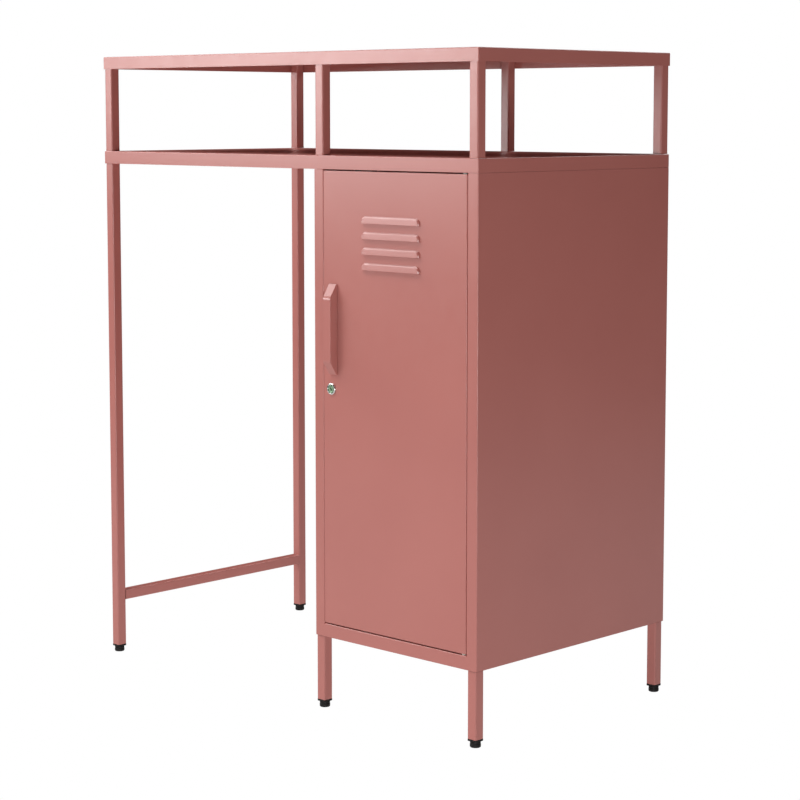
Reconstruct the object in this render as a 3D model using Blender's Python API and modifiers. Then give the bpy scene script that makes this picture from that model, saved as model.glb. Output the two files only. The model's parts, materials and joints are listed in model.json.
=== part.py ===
"""Locker cabinet: a tall folded-steel locker under a two-tier open rack with a free bay beside it.

Every piece is a separate closed solid.  Sizes are metres and +Z is up.  The part's origin lies on
the floor, under the middle of the whole object.  Places below are written from the cabinet's own
corner: x from the left outer face, y from the front face, z from the floor; ORIGIN_SHIFT moves
them into the part's frame.
"""

import math

import bmesh
import bpy
from mathutils import Matrix, Vector

MM = 0.001

# ---- Driving dimensions ----
WIDTH = 945.0 * MM
DEPTH = 500.0 * MM
HEIGHT = 1136.0 * MM
TRAY_FLANGE = 22.5 * MM
SHELF_TOP = 960.5 * MM
SHELF_FLANGE = 23.3 * MM
LOCKER_WIDTH = 375.7 * MM
LOCKER_BOTTOM = 128.4 * MM
APRON_HEIGHT = 23.1 * MM
TUBE = 19.0 * MM
TUBE_INSET = 2.1 * MM

SHEET = 1.0 * MM
GAP = 0.3 * MM
FOLD_RADIUS = 1.5 * MM
FOLD_STEPS = 2
ROUND_STEPS = 16
CUT_PAST = 1.0 * MM

LEFT_STILE = 21.7 * MM
RIGHT_STILE = 22.6 * MM
STILE_RETURN = 16.0 * MM
REAR_RETURN = 15.0 * MM

DOOR_GAP_LEFT = 0.6 * MM
DOOR_GAP_RIGHT = 1.45 * MM
DOOR_GAP_BOTTOM = 1.9 * MM
DOOR_GAP_TOP = 2.3 * MM
DOOR_THICKNESS = 16.0 * MM
DOOR_LIP = 8.0 * MM
PIVOT_FROM_EDGE = 8.0 * MM
PIVOT_FROM_FRONT = 5.0 * MM

LOUVRE_COUNT = 4
LOUVRE_PITCH = 26.0 * MM
LOUVRE_TOP = 859.8 * MM
LOUVRE_LEFT = 684.8 * MM
LOUVRE_WIDTH = 133.0 * MM
LOUVRE_HEIGHT = 11.5 * MM
LOUVRE_REACH = 4.6 * MM

HANDLE_LEFT = 606.9 * MM
HANDLE_WIDTH = 18.0 * MM
HANDLE_LOW = 587.5 * MM
HANDLE_HIGH = 743.5 * MM
HANDLE_REACH = 17.0 * MM
HANDLE_WALL = 3.0 * MM
HANDLE_RAMP = 23.0 * MM

LOCK_X = 610.6 * MM
LOCK_Z = 562.8 * MM

FOOT_HEIGHT = 14.0 * MM

# ---- Places that follow from them ----
ORIGIN_SHIFT = Vector((-WIDTH / 2, (HANDLE_REACH - DEPTH) / 2, 0.0))
SHELF_BOTTOM = SHELF_TOP - SHELF_FLANGE
LOCKER_LEFT = WIDTH - LOCKER_WIDTH
LOCKER_TOP = SHELF_BOTTOM - GAP
FLOOR_TOP = LOCKER_BOTTOM + APRON_HEIGHT
OPENING_LEFT = LOCKER_LEFT + LEFT_STILE
OPENING_RIGHT = WIDTH - RIGHT_STILE
DOOR_LEFT = OPENING_LEFT + DOOR_GAP_LEFT
DOOR_RIGHT = OPENING_RIGHT - DOOR_GAP_RIGHT
DOOR_BOTTOM = FLOOR_TOP + DOOR_GAP_BOTTOM
DOOR_TOP = SHELF_BOTTOM - DOOR_GAP_TOP
PIVOT = Vector((DOOR_RIGHT - PIVOT_FROM_EDGE, PIVOT_FROM_FRONT, 0.0))
TUBE_FRONT = SHEET + GAP
TUBE_REAR = DEPTH - SHEET - GAP - TUBE
COLUMN_LEFT = TUBE_INSET
COLUMN_MIDDLE = LOCKER_LEFT + SHEET + GAP
COLUMN_RIGHT = WIDTH - TUBE_INSET - TUBE
HOLLOW_TOP = SHELF_TOP - SHEET - GAP

# Colour (linear), roughness, metallic
CORAL_PAINT = ((0.50, 0.185, 0.165), 0.42, 0.0)
BLACK_PLASTIC = ((0.015, 0.014, 0.014), 0.50, 0.0)
WHITE_NYLON = ((0.72, 0.71, 0.66), 0.45, 0.0)
CHROME = ((0.75, 0.75, 0.73), 0.15, 1.0)
ZINC = ((0.45, 0.45, 0.44), 0.35, 1.0)
LOCK_FACE = ((0.38, 0.47, 0.36), 0.38, 0.6)


# ---- Scene ----

def clear_scene():
    for item in list(bpy.data.objects):
        bpy.data.objects.remove(item, do_unlink=True)


def new_collection(name):
    group = bpy.data.collections.new(name)
    bpy.context.scene.collection.children.link(group)
    return group


clear_scene()
PARTS = new_collection("locker_cabinet")
CUTTERS = new_collection("locker_cabinet_cutters")


def world_place(item):
    place = Vector(item.location)
    while item.parent:
        item = item.parent
        place += Vector(item.location)
    return place


def pivot_empty(name, corner_place, parent=None):
    """An empty on a joint's axis, which the moving pieces hang from."""
    empty = bpy.data.objects.new(name, None)
    empty.empty_display_size = 30 * MM
    PARTS.objects.link(empty)
    hang(empty, Vector(corner_place) + ORIGIN_SHIFT, parent)
    return empty


def hang(item, place, parent):
    item.parent = parent
    item.location = place - world_place(parent) if parent else place


def paint(item, finish):
    colour, roughness, metallic = finish
    surface = bpy.data.materials.new(item.name + "_finish")
    surface.use_nodes = True
    shader = surface.node_tree.nodes["Principled BSDF"]
    shader.inputs["Base Color"].default_value = (*colour, 1.0)
    shader.inputs["Roughness"].default_value = roughness
    shader.inputs["Metallic"].default_value = metallic
    surface.diffuse_color = (*colour, 1.0)
    item.data.materials.append(surface)


def add_piece(name, shape, finish=None, parent=None):
    """Turn a bmesh written from the cabinet's corner into an object with its origin at its middle.

    Without a finish the object is a cutter or an operand, which stays out of the parts."""
    corners = [Vector(vert.co) for vert in shape.verts]
    low = Vector([min(corner[i] for corner in corners) for i in range(3)])
    high = Vector([max(corner[i] for corner in corners) for i in range(3)])
    middle = (low + high) / 2
    bmesh.ops.translate(shape, verts=shape.verts, vec=-middle)
    mesh = bpy.data.meshes.new(name)
    shape.to_mesh(mesh)
    shape.free()
    item = bpy.data.objects.new(name, mesh)
    register(item, middle + ORIGIN_SHIFT, finish, parent)
    return item


def register(item, place, finish, parent):
    if finish:
        PARTS.objects.link(item)
        paint(item, finish)
    else:
        CUTTERS.objects.link(item)
        item.hide_render = True
        item.display_type = "WIRE"
    hang(item, place, parent)


# ---- Modifiers ----

def round_edges(item, width, steps=FOLD_STEPS):
    bevel = item.modifiers.new("rounded_edges", "BEVEL")
    bevel.width = width
    bevel.segments = steps
    bevel.limit_method = "ANGLE"
    bevel.angle_limit = math.radians(40)


def thicken(item, thickness=SHEET, offset=-1.0):
    sheet = item.modifiers.new("sheet", "SOLIDIFY")
    sheet.thickness = thickness
    sheet.offset = offset
    sheet.use_even_offset = True


def combine(item, other, operation):
    boolean = item.modifiers.new(operation.lower(), "BOOLEAN")
    boolean.operation = operation
    boolean.solver = "EXACT"
    boolean.object = other


# ---- Shapes ----

def cube(low, high):
    shape = bmesh.new()
    bmesh.ops.create_cube(shape, size=1.0)
    low = Vector(low)
    high = Vector(high)
    bmesh.ops.scale(shape, verts=shape.verts, vec=high - low)
    bmesh.ops.translate(shape, verts=shape.verts, vec=(low + high) / 2)
    return shape


def block(name, low, high, finish=None, parent=None):
    return add_piece(name, cube(low, high), finish, parent)


def faces_towards(shape, direction):
    return [face for face in shape.faces if face.normal.dot(Vector(direction)) > 0.9]


def folded_tray(name, low, high, open_towards, finish, parent=None, lip=0.0):
    """Sheet folded into a shallow box that is open on one side, with an optional inward lip there."""
    shape = cube(low, high)
    shape.normal_update()
    lid = faces_towards(shape, open_towards)
    if lip:
        bmesh.ops.inset_region(shape, faces=lid, thickness=lip)
    bmesh.ops.delete(shape, geom=lid, context="FACES")
    tray = add_piece(name, shape, finish, parent)
    round_edges(tray, FOLD_RADIUS)
    thicken(tray)
    return tray


def folded_strip(name, outline, start, end, direction, finish, offset, parent=None):
    """Sheet folded along an open outline and drawn out along one axis, from start to end.

    offset is 1 or -1: the side of the outline that the sheet's thickness lies on."""
    axis = "XYZ".index(direction)
    others = [i for i in range(3) if i != axis]
    shape = bmesh.new()
    points = []
    for first, second in outline:
        point = Vector((0.0, 0.0, 0.0))
        point[axis] = start
        point[others[0]] = first
        point[others[1]] = second
        points.append(shape.verts.new(point))
    edges = [shape.edges.new(pair) for pair in zip(points, points[1:])]
    drawn = bmesh.ops.extrude_edge_only(shape, edges=edges)["geom"]
    step = Vector((0.0, 0.0, 0.0))
    step[axis] = end - start
    moved = [item for item in drawn if isinstance(item, bmesh.types.BMVert)]
    bmesh.ops.translate(shape, verts=moved, vec=step)
    strip = add_piece(name, shape, finish, parent)
    round_edges(strip, FOLD_RADIUS)
    thicken(strip, offset=offset)
    return strip


def square_tube(name, low, high, direction, finish=CORAL_PAINT):
    """Thin-walled square tube with rounded corners, open at both ends."""
    axis = Vector([1.0 if letter == direction else 0.0 for letter in "XYZ"])
    shape = cube(low, high)
    shape.normal_update()
    ends = faces_towards(shape, axis) + faces_towards(shape, -axis)
    bmesh.ops.delete(shape, geom=ends, context="FACES")
    tube = add_piece(name, shape, finish)
    round_edges(tube, FOLD_RADIUS)
    thicken(tube)
    return tube


def turned(name, profile, foot, finish, parent=None, faces_front=False, closed=False):
    """Profile of (radius, height) points turned about an axis through foot.

    The axis is vertical, or points out of the cabinet's front.  The points run down the outside."""
    shape = bmesh.new()
    points = [shape.verts.new((radius, 0.0, height)) for radius, height in profile]
    pairs = list(zip(points, points[1:]))
    if closed:
        pairs.append((points[-1], points[0]))
    for pair in pairs:
        shape.edges.new(pair)
    mesh = bpy.data.meshes.new(name)
    shape.to_mesh(mesh)
    shape.free()
    item = bpy.data.objects.new(name, mesh)
    if faces_front:
        item.rotation_euler = (math.pi / 2, 0.0, 0.0)
    screw = item.modifiers.new("turned", "SCREW")
    screw.angle = math.tau
    screw.steps = ROUND_STEPS
    screw.render_steps = ROUND_STEPS
    screw.use_merge_vertices = True
    screw.merge_threshold = 0.02 * MM
    register(item, Vector(foot) + ORIGIN_SHIFT, finish, parent)
    return item


def hole_cutter(name, places, radius, low, high, direction="Z"):
    """Round cutters in one object, each from low to high along one axis."""
    shape = bmesh.new()
    turn = Matrix.Rotation(math.pi / 2, 4, "X") if direction == "Y" else Matrix.Identity(4)
    for first, second in places:
        middle = (low + high) / 2
        place = (first, middle, second) if direction == "Y" else (first, second, middle)
        bmesh.ops.create_cone(
            shape, cap_ends=True, segments=ROUND_STEPS, radius1=radius, radius2=radius,
            depth=high - low, matrix=Matrix.Translation(place) @ turn)
    return add_piece(name, shape)


def outline_solid(outline, normal, start, end):
    """Flat outline, filled and drawn out along X (outline in y, z) or Y (outline in x, z)."""
    curve = bpy.data.curves.new("outline", "CURVE")
    curve.dimensions = "2D"
    curve.fill_mode = "BOTH"
    curve.extrude = (end - start) / 2
    spline = curve.splines.new("POLY")
    spline.points.add(len(outline) - 1)
    for point, (first, second) in zip(spline.points, outline):
        point.co = (first, second, 0.0, 1.0)
    spline.use_cyclic_u = True
    drawing = bpy.data.objects.new("outline", curve)
    bpy.context.scene.collection.objects.link(drawing)
    graph = bpy.context.evaluated_depsgraph_get()
    mesh = bpy.data.meshes.new_from_object(drawing.evaluated_get(graph))
    bpy.data.objects.remove(drawing, do_unlink=True)
    shape = bmesh.new()
    shape.from_mesh(mesh)
    bmesh.ops.remove_doubles(shape, verts=shape.verts, dist=0.005 * MM)
    axes = {
        "X": ((0.0, 1.0, 0.0), (0.0, 0.0, 1.0), (1.0, 0.0, 0.0)),
        "Y": ((1.0, 0.0, 0.0), (0.0, 0.0, 1.0), (0.0, -1.0, 0.0)),
    }[normal]
    turn = Matrix(axes).transposed().to_4x4()
    bmesh.ops.transform(shape, matrix=turn, verts=shape.verts)
    shift = Vector((0.0, 0.0, 0.0))
    shift["XYZ".index(normal)] = (start + end) / 2
    bmesh.ops.translate(shape, verts=shape.verts, vec=shift)
    bmesh.ops.recalc_face_normals(shape, faces=shape.faces)
    return shape


# ---- Open rack: trays, posts and legs ----

COLUMNS = {
    "front_left": (COLUMN_LEFT, TUBE_FRONT),
    "front_middle": (COLUMN_MIDDLE, TUBE_FRONT),
    "front_right": (COLUMN_RIGHT, TUBE_FRONT),
    "rear_left": (COLUMN_LEFT, TUBE_REAR),
    "rear_middle": (COLUMN_MIDDLE, TUBE_REAR),
    "rear_right": (COLUMN_RIGHT, TUBE_REAR),
}

BOLT_RADIUS = 3.0 * MM
BOLT_HEAD_RADIUS = 5.5 * MM
BOLT_HEAD_HEIGHT = 3.6 * MM
BOLT_LENGTH = 13.0 * MM
BOLT_TIP = 0.5 * MM
BOLT_HEAD_EDGE = 1.0 * MM
BASE_PLATE = 3.0 * MM
STIFFENER_DEPTH = 12.0 * MM
STIFFENER_WIDTH = 44.0 * MM
STIFFENER_FLANGE = 12.0 * MM


def column_middle(name):
    x, y = COLUMNS[name]
    return x + TUBE / 2, y + TUBE / 2


def make_tray(name, top, flange, finish=CORAL_PAINT):
    return folded_tray(
        name, (0.0, 0.0, top - flange), (WIDTH, DEPTH, top), (0, 0, -1), finish)


def make_stiffener(name, top, start, end):
    """Hat-section rail welded under a tray's skin."""
    middle = DEPTH / 2
    crown = STIFFENER_WIDTH / 2
    edge = crown + STIFFENER_FLANGE
    low = top - STIFFENER_DEPTH
    outline = [
        (middle - edge, top), (middle - crown, top), (middle - crown, low),
        (middle + crown, low), (middle + crown, top), (middle + edge, top)]
    return folded_strip(name, outline, start, end, "X", CORAL_PAINT, -1)


def make_rack():
    make_tray("top_tray", HEIGHT, TRAY_FLANGE)
    shelf = make_tray("mid_shelf", SHELF_TOP, SHELF_FLANGE)
    bolt_places = [column_middle(name) for name in COLUMNS]
    holes = hole_cutter(
        "shelf_bolt_holes", bolt_places, BOLT_RADIUS + GAP, SHELF_TOP - SHEET - CUT_PAST,
        SHELF_TOP + CUT_PAST)
    combine(shelf, holes, "DIFFERENCE")
    inset = SHEET + GAP
    make_stiffener("top_tray_stiffener", HEIGHT - inset, inset, WIDTH - inset)
    make_stiffener("mid_shelf_stiffener", SHELF_TOP - inset, inset, LOCKER_LEFT - inset)
    for name in COLUMNS:
        make_post(name)
        make_post_bolt(name)


def make_post(name):
    x, y = COLUMNS[name]
    low = SHELF_TOP + GAP
    high = HEIGHT - SHEET - GAP
    post = square_tube("post_" + name, (x, y, low), (x + TUBE, y + TUBE, high), "Z")
    inner = SHEET / 2
    plate = block(
        "post_base_" + name, (x + inner, y + inner, low),
        (x + TUBE - inner, y + TUBE - inner, low + BASE_PLATE))
    combine(post, plate, "UNION")
    hole = hole_cutter(
        "post_base_hole_" + name, [column_middle(name)], BOLT_RADIUS + GAP,
        low - CUT_PAST, low + BASE_PLATE + CUT_PAST)
    combine(post, hole, "DIFFERENCE")


def make_post_bolt(name):
    x, y = column_middle(name)
    head = BOLT_HEAD_HEIGHT
    end = head + BOLT_LENGTH
    profile = [
        (0.0, end), (BOLT_RADIUS - BOLT_TIP, end), (BOLT_RADIUS, end - BOLT_TIP),
        (BOLT_RADIUS, head), (BOLT_HEAD_RADIUS, head), (BOLT_HEAD_RADIUS, BOLT_HEAD_EDGE),
        (BOLT_HEAD_RADIUS - BOLT_HEAD_EDGE, 0.0), (0.0, 0.0)]
    turned("post_bolt_" + name, profile, (x, y, HOLLOW_TOP - head), ZINC)


# ---- Legs and feet ----

LOCKER_LEG_TOP = FLOOR_TOP - SHEET - GAP
STRETCHER_BOTTOM = 100.0 * MM
PLUG_HEAD = 3.3 * MM
PLUG_DEPTH = 16.0 * MM
STUD_RADIUS = 3.0 * MM
STUD_LENGTH = 18.0 * MM
GLIDE_RADIUS = 9.2 * MM
GLIDE_HEIGHT = 10.0 * MM
GLIDE_ROLL = 1.6 * MM
GLIDE_TOP_EDGE = 1.0 * MM


def make_legs():
    for name, (x, y) in COLUMNS.items():
        is_long = name.endswith("left")
        label = "leg_" if is_long else "locker_leg_"
        high = HOLLOW_TOP if is_long else LOCKER_LEG_TOP
        square_tube(label + name, (x, y, FOOT_HEIGHT), (x + TUBE, y + TUBE, high), "Z")
        make_leg_plug(name)
        make_glide(name)
    square_tube(
        "left_leg_stretcher", (COLUMN_LEFT, TUBE_FRONT + TUBE + GAP, STRETCHER_BOTTOM),
        (COLUMN_LEFT + TUBE, TUBE_REAR - GAP, STRETCHER_BOTTOM + TUBE), "Y")


def make_leg_plug(name):
    """Square plug pressed into the tube's end, bored for the glide's stud."""
    x, y = COLUMNS[name]
    top = FOOT_HEIGHT - GAP
    plug = block(
        "leg_plug_" + name, (x, y, top - PLUG_HEAD), (x + TUBE, y + TUBE, top), BLACK_PLASTIC)
    wall = SHEET + GAP
    insert = block(
        "leg_plug_insert_" + name, (x + wall, y + wall, top - PLUG_HEAD / 3),
        (x + TUBE - wall, y + TUBE - wall, top + PLUG_DEPTH))
    combine(plug, insert, "UNION")
    bore = hole_cutter(
        "leg_plug_bore_" + name, [column_middle(name)], STUD_RADIUS + GAP,
        top - PLUG_HEAD - CUT_PAST, top + PLUG_DEPTH + CUT_PAST)
    combine(plug, bore, "DIFFERENCE")


def make_glide(name):
    """Levelling foot: a round base with a rolled lower edge on a stud that screws out downwards."""
    x, y = column_middle(name)
    corner = [
        (GLIDE_RADIUS - GLIDE_ROLL * (1 - math.cos(angle)), GLIDE_ROLL * (1 - math.sin(angle)))
        for angle in (math.radians(45 * i) for i in range(3))]
    profile = [
        (0.0, GLIDE_HEIGHT + STUD_LENGTH), (STUD_RADIUS, GLIDE_HEIGHT + STUD_LENGTH),
        (STUD_RADIUS, GLIDE_HEIGHT), (GLIDE_RADIUS - GLIDE_TOP_EDGE, GLIDE_HEIGHT),
        (GLIDE_RADIUS, GLIDE_HEIGHT - GLIDE_TOP_EDGE)]
    profile += corner
    profile.append((0.0, 0.0))
    turned("glide_" + name, profile, (x, y, 0.0), BLACK_PLASTIC)


# ---- Locker shell ----

TONGUE_DEEP = 20.0 * MM
TONGUE_INSET = 60.0 * MM
WELD_HEIGHT = 15.0 * MM
WELD_INSET = 1.0 * MM
WING_OVERLAP = 4.0 * MM
HEADER_DEPTH = 30.0 * MM
INNER_SHELF_TOP = 545.0 * MM
INNER_SHELF_FLANGE = 20.0 * MM
INNER_SHELF_FRONT = 32.0 * MM
RUNNER_WIDTH = 14.0 * MM
RUNNER_HEIGHT = 12.0 * MM
RUNNER_END_INSET = 8.0 * MM
SHELF_REAR_CLEARANCE = 2.0 * MM
CATCH_FROM_STILE = 60.0 * MM
CATCH_WIDTH = 40.0 * MM
CATCH_HEIGHT = 12.0 * MM


def make_side_panel(name, outer, opening, towards_middle):
    """Side sheet with the front stile, its inner return and the rear return folded from it."""
    rear = outer + towards_middle * REAR_RETURN
    outline = [
        (opening, STILE_RETURN), (opening, 0.0), (outer, 0.0), (outer, DEPTH), (rear, DEPTH)]
    return folded_strip(
        name, outline, LOCKER_BOTTOM, LOCKER_TOP, "Z", CORAL_PAINT, -towards_middle)


def make_locker_sides():
    left = make_side_panel("left_side_panel", LOCKER_LEFT, OPENING_LEFT, 1)
    right = make_side_panel("right_side_panel", WIDTH, OPENING_RIGHT, -1)
    near = TONGUE_INSET
    far = DEPTH - TONGUE_INSET
    left_tongue = block(
        "left_tongue", (LOCKER_LEFT, near, LOCKER_TOP - WELD_INSET),
        (LOCKER_LEFT + SHEET, far, HOLLOW_TOP))
    combine(left, left_tongue, "UNION")
    inner = WIDTH - SHEET - GAP
    right_tongue = block(
        "right_tongue", (inner - SHEET, near, LOCKER_TOP - TONGUE_DEEP), (inner, far, HOLLOW_TOP))
    weld_low = LOCKER_TOP - TONGUE_DEEP + WELD_INSET
    weld = block(
        "right_tongue_weld", (inner - SHEET / 2, near + WELD_INSET, weld_low),
        (WIDTH - SHEET / 2, far - WELD_INSET, weld_low + WELD_HEIGHT))
    combine(right, weld, "UNION")
    combine(right, right_tongue, "UNION")


def make_bottom_panel():
    """Floor with the front apron, flush with the stiles, and wings that reach the side sheets."""
    floor = folded_tray(
        "bottom_panel", (OPENING_LEFT + GAP, 0.0, LOCKER_BOTTOM),
        (OPENING_RIGHT - GAP, DEPTH - SHEET - GAP, FLOOR_TOP), (0, 0, -1), CORAL_PAINT)
    wing_front = STILE_RETURN + 2 * GAP
    wing_rear = DEPTH - SHEET - 2 * GAP
    spans = {
        "left": (LOCKER_LEFT + SHEET + GAP, OPENING_LEFT + WING_OVERLAP),
        "right": (OPENING_RIGHT - WING_OVERLAP, WIDTH - SHEET - GAP),
    }
    for label, (start, end) in spans.items():
        wing = block(
            "floor_wing_" + label, (start, wing_front, FLOOR_TOP - SHEET), (end, wing_rear, FLOOR_TOP))
        combine(floor, wing, "UNION")
    hole = hole_cutter(
        "lower_pin_hole", [(PIVOT.x, PIVOT.y)], PIN_RADIUS + GAP, FLOOR_TOP - SHEET - CUT_PAST,
        FLOOR_TOP + CUT_PAST)
    combine(floor, hole, "DIFFERENCE")


def make_header_rail():
    low = LOCKER_TOP + 2 * GAP
    rail = folded_tray(
        "header_rail", (OPENING_LEFT + GAP, SHEET + GAP, low),
        (OPENING_RIGHT - GAP, SHEET + GAP + HEADER_DEPTH, HOLLOW_TOP), (0, 0, 1), CORAL_PAINT)
    hole = hole_cutter(
        "upper_pin_hole", [(PIVOT.x, PIVOT.y)], PIN_RADIUS + GAP, low - CUT_PAST,
        low + SHEET + CUT_PAST)
    combine(rail, hole, "DIFFERENCE")


def make_locker_inside():
    left = LOCKER_LEFT + SHEET + GAP
    right = WIDTH - SHEET - GAP
    rear = DEPTH - SHEET - GAP
    block(
        "back_panel", (left, rear - SHEET, FLOOR_TOP + GAP), (right, rear, HOLLOW_TOP), CORAL_PAINT)
    shelf_low = INNER_SHELF_TOP - INNER_SHELF_FLANGE
    shelf_rear = rear - SHEET - SHELF_REAR_CLEARANCE
    inner = SHEET + GAP
    folded_tray(
        "inner_shelf", (left + inner, INNER_SHELF_FRONT, shelf_low),
        (right - inner, shelf_rear, INNER_SHELF_TOP), (0, 0, -1), CORAL_PAINT)
    seat = shelf_low - GAP - SHEET
    start = INNER_SHELF_FRONT + RUNNER_END_INSET
    end = shelf_rear - RUNNER_END_INSET
    for name, wall, step in (("left_shelf_runner", left, 1), ("right_shelf_runner", right, -1)):
        outline = [
            (wall, seat + RUNNER_HEIGHT), (wall, seat), (wall + step * RUNNER_WIDTH, seat)]
        folded_strip(name, outline, start, end, "Y", CORAL_PAINT, -step)
    catch_left = OPENING_LEFT + CATCH_FROM_STILE
    catch_top = LOCKER_TOP + GAP
    block(
        "magnetic_catch", (catch_left, DOOR_THICKNESS + 2 * GAP, catch_top - CATCH_HEIGHT),
        (catch_left + CATCH_WIDTH, HEADER_DEPTH, catch_top), BLACK_PLASTIC)


# ---- Hinge: two fixed pins, and two nylon bushes that turn with the door ----

PIN_RADIUS = 1.8 * MM
PIN_HEAD_RADIUS = 2.4 * MM
PIN_HEAD = 2.0 * MM
PIN_ENGAGED = 7.0 * MM
PIN_TIP = 0.6 * MM
BUSH_BORE = PIN_RADIUS + GAP
BUSH_RADIUS = 2.9 * MM
BUSH_FLANGE_RADIUS = 3.9 * MM
BUSH_FLANGE = 0.8 * MM
BUSH_LENGTH = 4.2 * MM


def pin_profile(shank, upward):
    """Headed pin whose head is at height 0 and whose shank points up or down from it."""
    points = [
        (0.0, PIN_HEAD + shank), (PIN_RADIUS - PIN_TIP, PIN_HEAD + shank),
        (PIN_RADIUS, PIN_HEAD + shank - PIN_TIP), (PIN_RADIUS, PIN_HEAD),
        (PIN_HEAD_RADIUS, PIN_HEAD), (PIN_HEAD_RADIUS, 0.0), (0.0, 0.0)]
    if upward:
        return points
    return [(radius, -height) for radius, height in reversed(points)]


def bush_profile(upward):
    """Flanged bush; its flange starts at height 0 and its barrel runs into the door."""
    points = [
        (BUSH_BORE, BUSH_LENGTH), (BUSH_RADIUS, BUSH_LENGTH), (BUSH_RADIUS, BUSH_FLANGE),
        (BUSH_FLANGE_RADIUS, BUSH_FLANGE), (BUSH_FLANGE_RADIUS, 0.0), (BUSH_BORE, 0.0)]
    if upward:
        return points
    return [(radius, -height) for radius, height in reversed(points)]


def make_hinge(door_axis):
    floor_under = FLOOR_TOP - SHEET - GAP
    shank = DOOR_BOTTOM + PIN_ENGAGED - floor_under
    turned(
        "lower_hinge_pin", pin_profile(shank, True),
        (PIVOT.x, PIVOT.y, floor_under - PIN_HEAD), ZINC)
    header_over = LOCKER_TOP + 3 * GAP + SHEET
    shank = header_over - (DOOR_TOP - PIN_ENGAGED)
    turned(
        "upper_hinge_pin", pin_profile(shank, False),
        (PIVOT.x, PIVOT.y, header_over + PIN_HEAD), ZINC)
    lift = (DOOR_GAP_BOTTOM - BUSH_FLANGE) / 2
    turned(
        "lower_hinge_bush", bush_profile(True), (PIVOT.x, PIVOT.y, FLOOR_TOP + lift),
        WHITE_NYLON, door_axis, closed=True)
    turned(
        "upper_hinge_bush", bush_profile(False), (PIVOT.x, PIVOT.y, DOOR_TOP + lift + BUSH_FLANGE),
        WHITE_NYLON, door_axis, closed=True)


# ---- Door ----

LOUVRE_CORNER = 8.0 * MM
LOUVRE_BEVEL = 2.4 * MM
LOUVRE_SKIN = 0.9 * MM
HANDLE_EDGE = 0.8 * MM
HANDLE_SCREW_RADIUS = 2.5 * MM
HANDLE_SCREW_INSET = 9.0 * MM
HANDLE_SCREW_DEEP = 5.0 * MM
HANDLE_SCREW_TIP = 0.4 * MM
HANDLE_SCREW_HEAD_RADIUS = 4.5 * MM
HANDLE_SCREW_HEAD = 2.2 * MM
HANDLE_SCREW_DOME = 0.9 * MM
BARREL_RADIUS = 8.0 * MM
DOOR_STIFFENER_LEFT = 735.0 * MM
DOOR_STIFFENER_WIDTH = 40.0 * MM
DOOR_STIFFENER_DEEP = 9.0 * MM
DOOR_STIFFENER_LOW = 200.0 * MM
DOOR_STIFFENER_HIGH = 745.0 * MM


def rounded_top(left, right, low, high, radius, steps=4):
    """Outline of a hood from the front: square below and round at its two upper corners."""
    outline = [(left, low), (right, low)]
    for centre, start in ((right - radius, 0.0), (left + radius, math.pi / 2)):
        for i in range(steps + 1):
            angle = start + math.pi / 2 * i / steps
            outline.append(
                (centre + radius * math.cos(angle), high - radius + radius * math.sin(angle)))
    return outline


def hood_shape(shrink, front, rear, drop):
    """All the louvre hoods as solids that stand out from the door's face."""
    shape = bmesh.new()
    for i in range(LOUVRE_COUNT):
        high = LOUVRE_TOP - i * LOUVRE_PITCH
        low = high - LOUVRE_HEIGHT
        outline = rounded_top(
            LOUVRE_LEFT + shrink, LOUVRE_LEFT + LOUVRE_WIDTH - shrink, low - drop, high - shrink,
            LOUVRE_CORNER - shrink)
        hood = outline_solid(outline, "Y", front, rear)
        rim = [
            edge for edge in hood.edges
            if all(abs(vert.co.y - front) < 1e-6 for vert in edge.verts)
            and not all(vert.co.z < low for vert in edge.verts)
            and len({face.normal.to_tuple(2) for face in edge.link_faces}) > 1
            and not all(abs(vert.co.z - low + drop) < 1e-6 for vert in edge.verts)]
        bmesh.ops.bevel(
            hood, geom=rim, offset=LOUVRE_BEVEL, segments=1, profile=0.5, affect="EDGES")
        mesh = bpy.data.meshes.new("hood")
        hood.to_mesh(mesh)
        hood.free()
        shape.from_mesh(mesh)
    return shape


def make_door(door_axis):
    door = folded_tray(
        "door_panel", (DOOR_LEFT, 0.0, DOOR_BOTTOM), (DOOR_RIGHT, DOOR_THICKNESS, DOOR_TOP),
        (0, 1, 0), CORAL_PAINT, door_axis, lip=DOOR_LIP)
    hoods = add_piece("louvre_hoods", hood_shape(0.0, -LOUVRE_REACH, SHEET / 2, 0.0))
    combine(door, hoods, "UNION")
    vents = add_piece(
        "louvre_vents",
        hood_shape(LOUVRE_SKIN, -LOUVRE_REACH + LOUVRE_SKIN, 2 * SHEET, GAP))
    combine(door, vents, "DIFFERENCE")
    lock_hole = hole_cutter(
        "lock_hole", [(LOCK_X, LOCK_Z)], BARREL_RADIUS + GAP, -CUT_PAST, SHEET + CUT_PAST, "Y")
    combine(door, lock_hole, "DIFFERENCE")
    screw_holes = hole_cutter(
        "handle_screw_holes", handle_screw_places(), HANDLE_SCREW_RADIUS + GAP, -CUT_PAST,
        SHEET + CUT_PAST, "Y")
    combine(door, screw_holes, "DIFFERENCE")
    for label, height in (("lower", DOOR_BOTTOM), ("upper", DOOR_TOP)):
        bush_hole = hole_cutter(
            "bush_hole_" + label, [(PIVOT.x, PIVOT.y)], BUSH_RADIUS + GAP,
            height - SHEET - CUT_PAST, height + SHEET + CUT_PAST)
        combine(door, bush_hole, "DIFFERENCE")
    left = DOOR_STIFFENER_LEFT
    right = left + DOOR_STIFFENER_WIDTH
    near = SHEET + GAP
    deep = near + DOOR_STIFFENER_DEEP
    outline = [(left, near), (left, deep), (right, deep), (right, near)]
    folded_strip(
        "door_stiffener", outline, DOOR_STIFFENER_LOW, DOOR_STIFFENER_HIGH, "Z", CORAL_PAINT, -1,
        door_axis)


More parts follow.
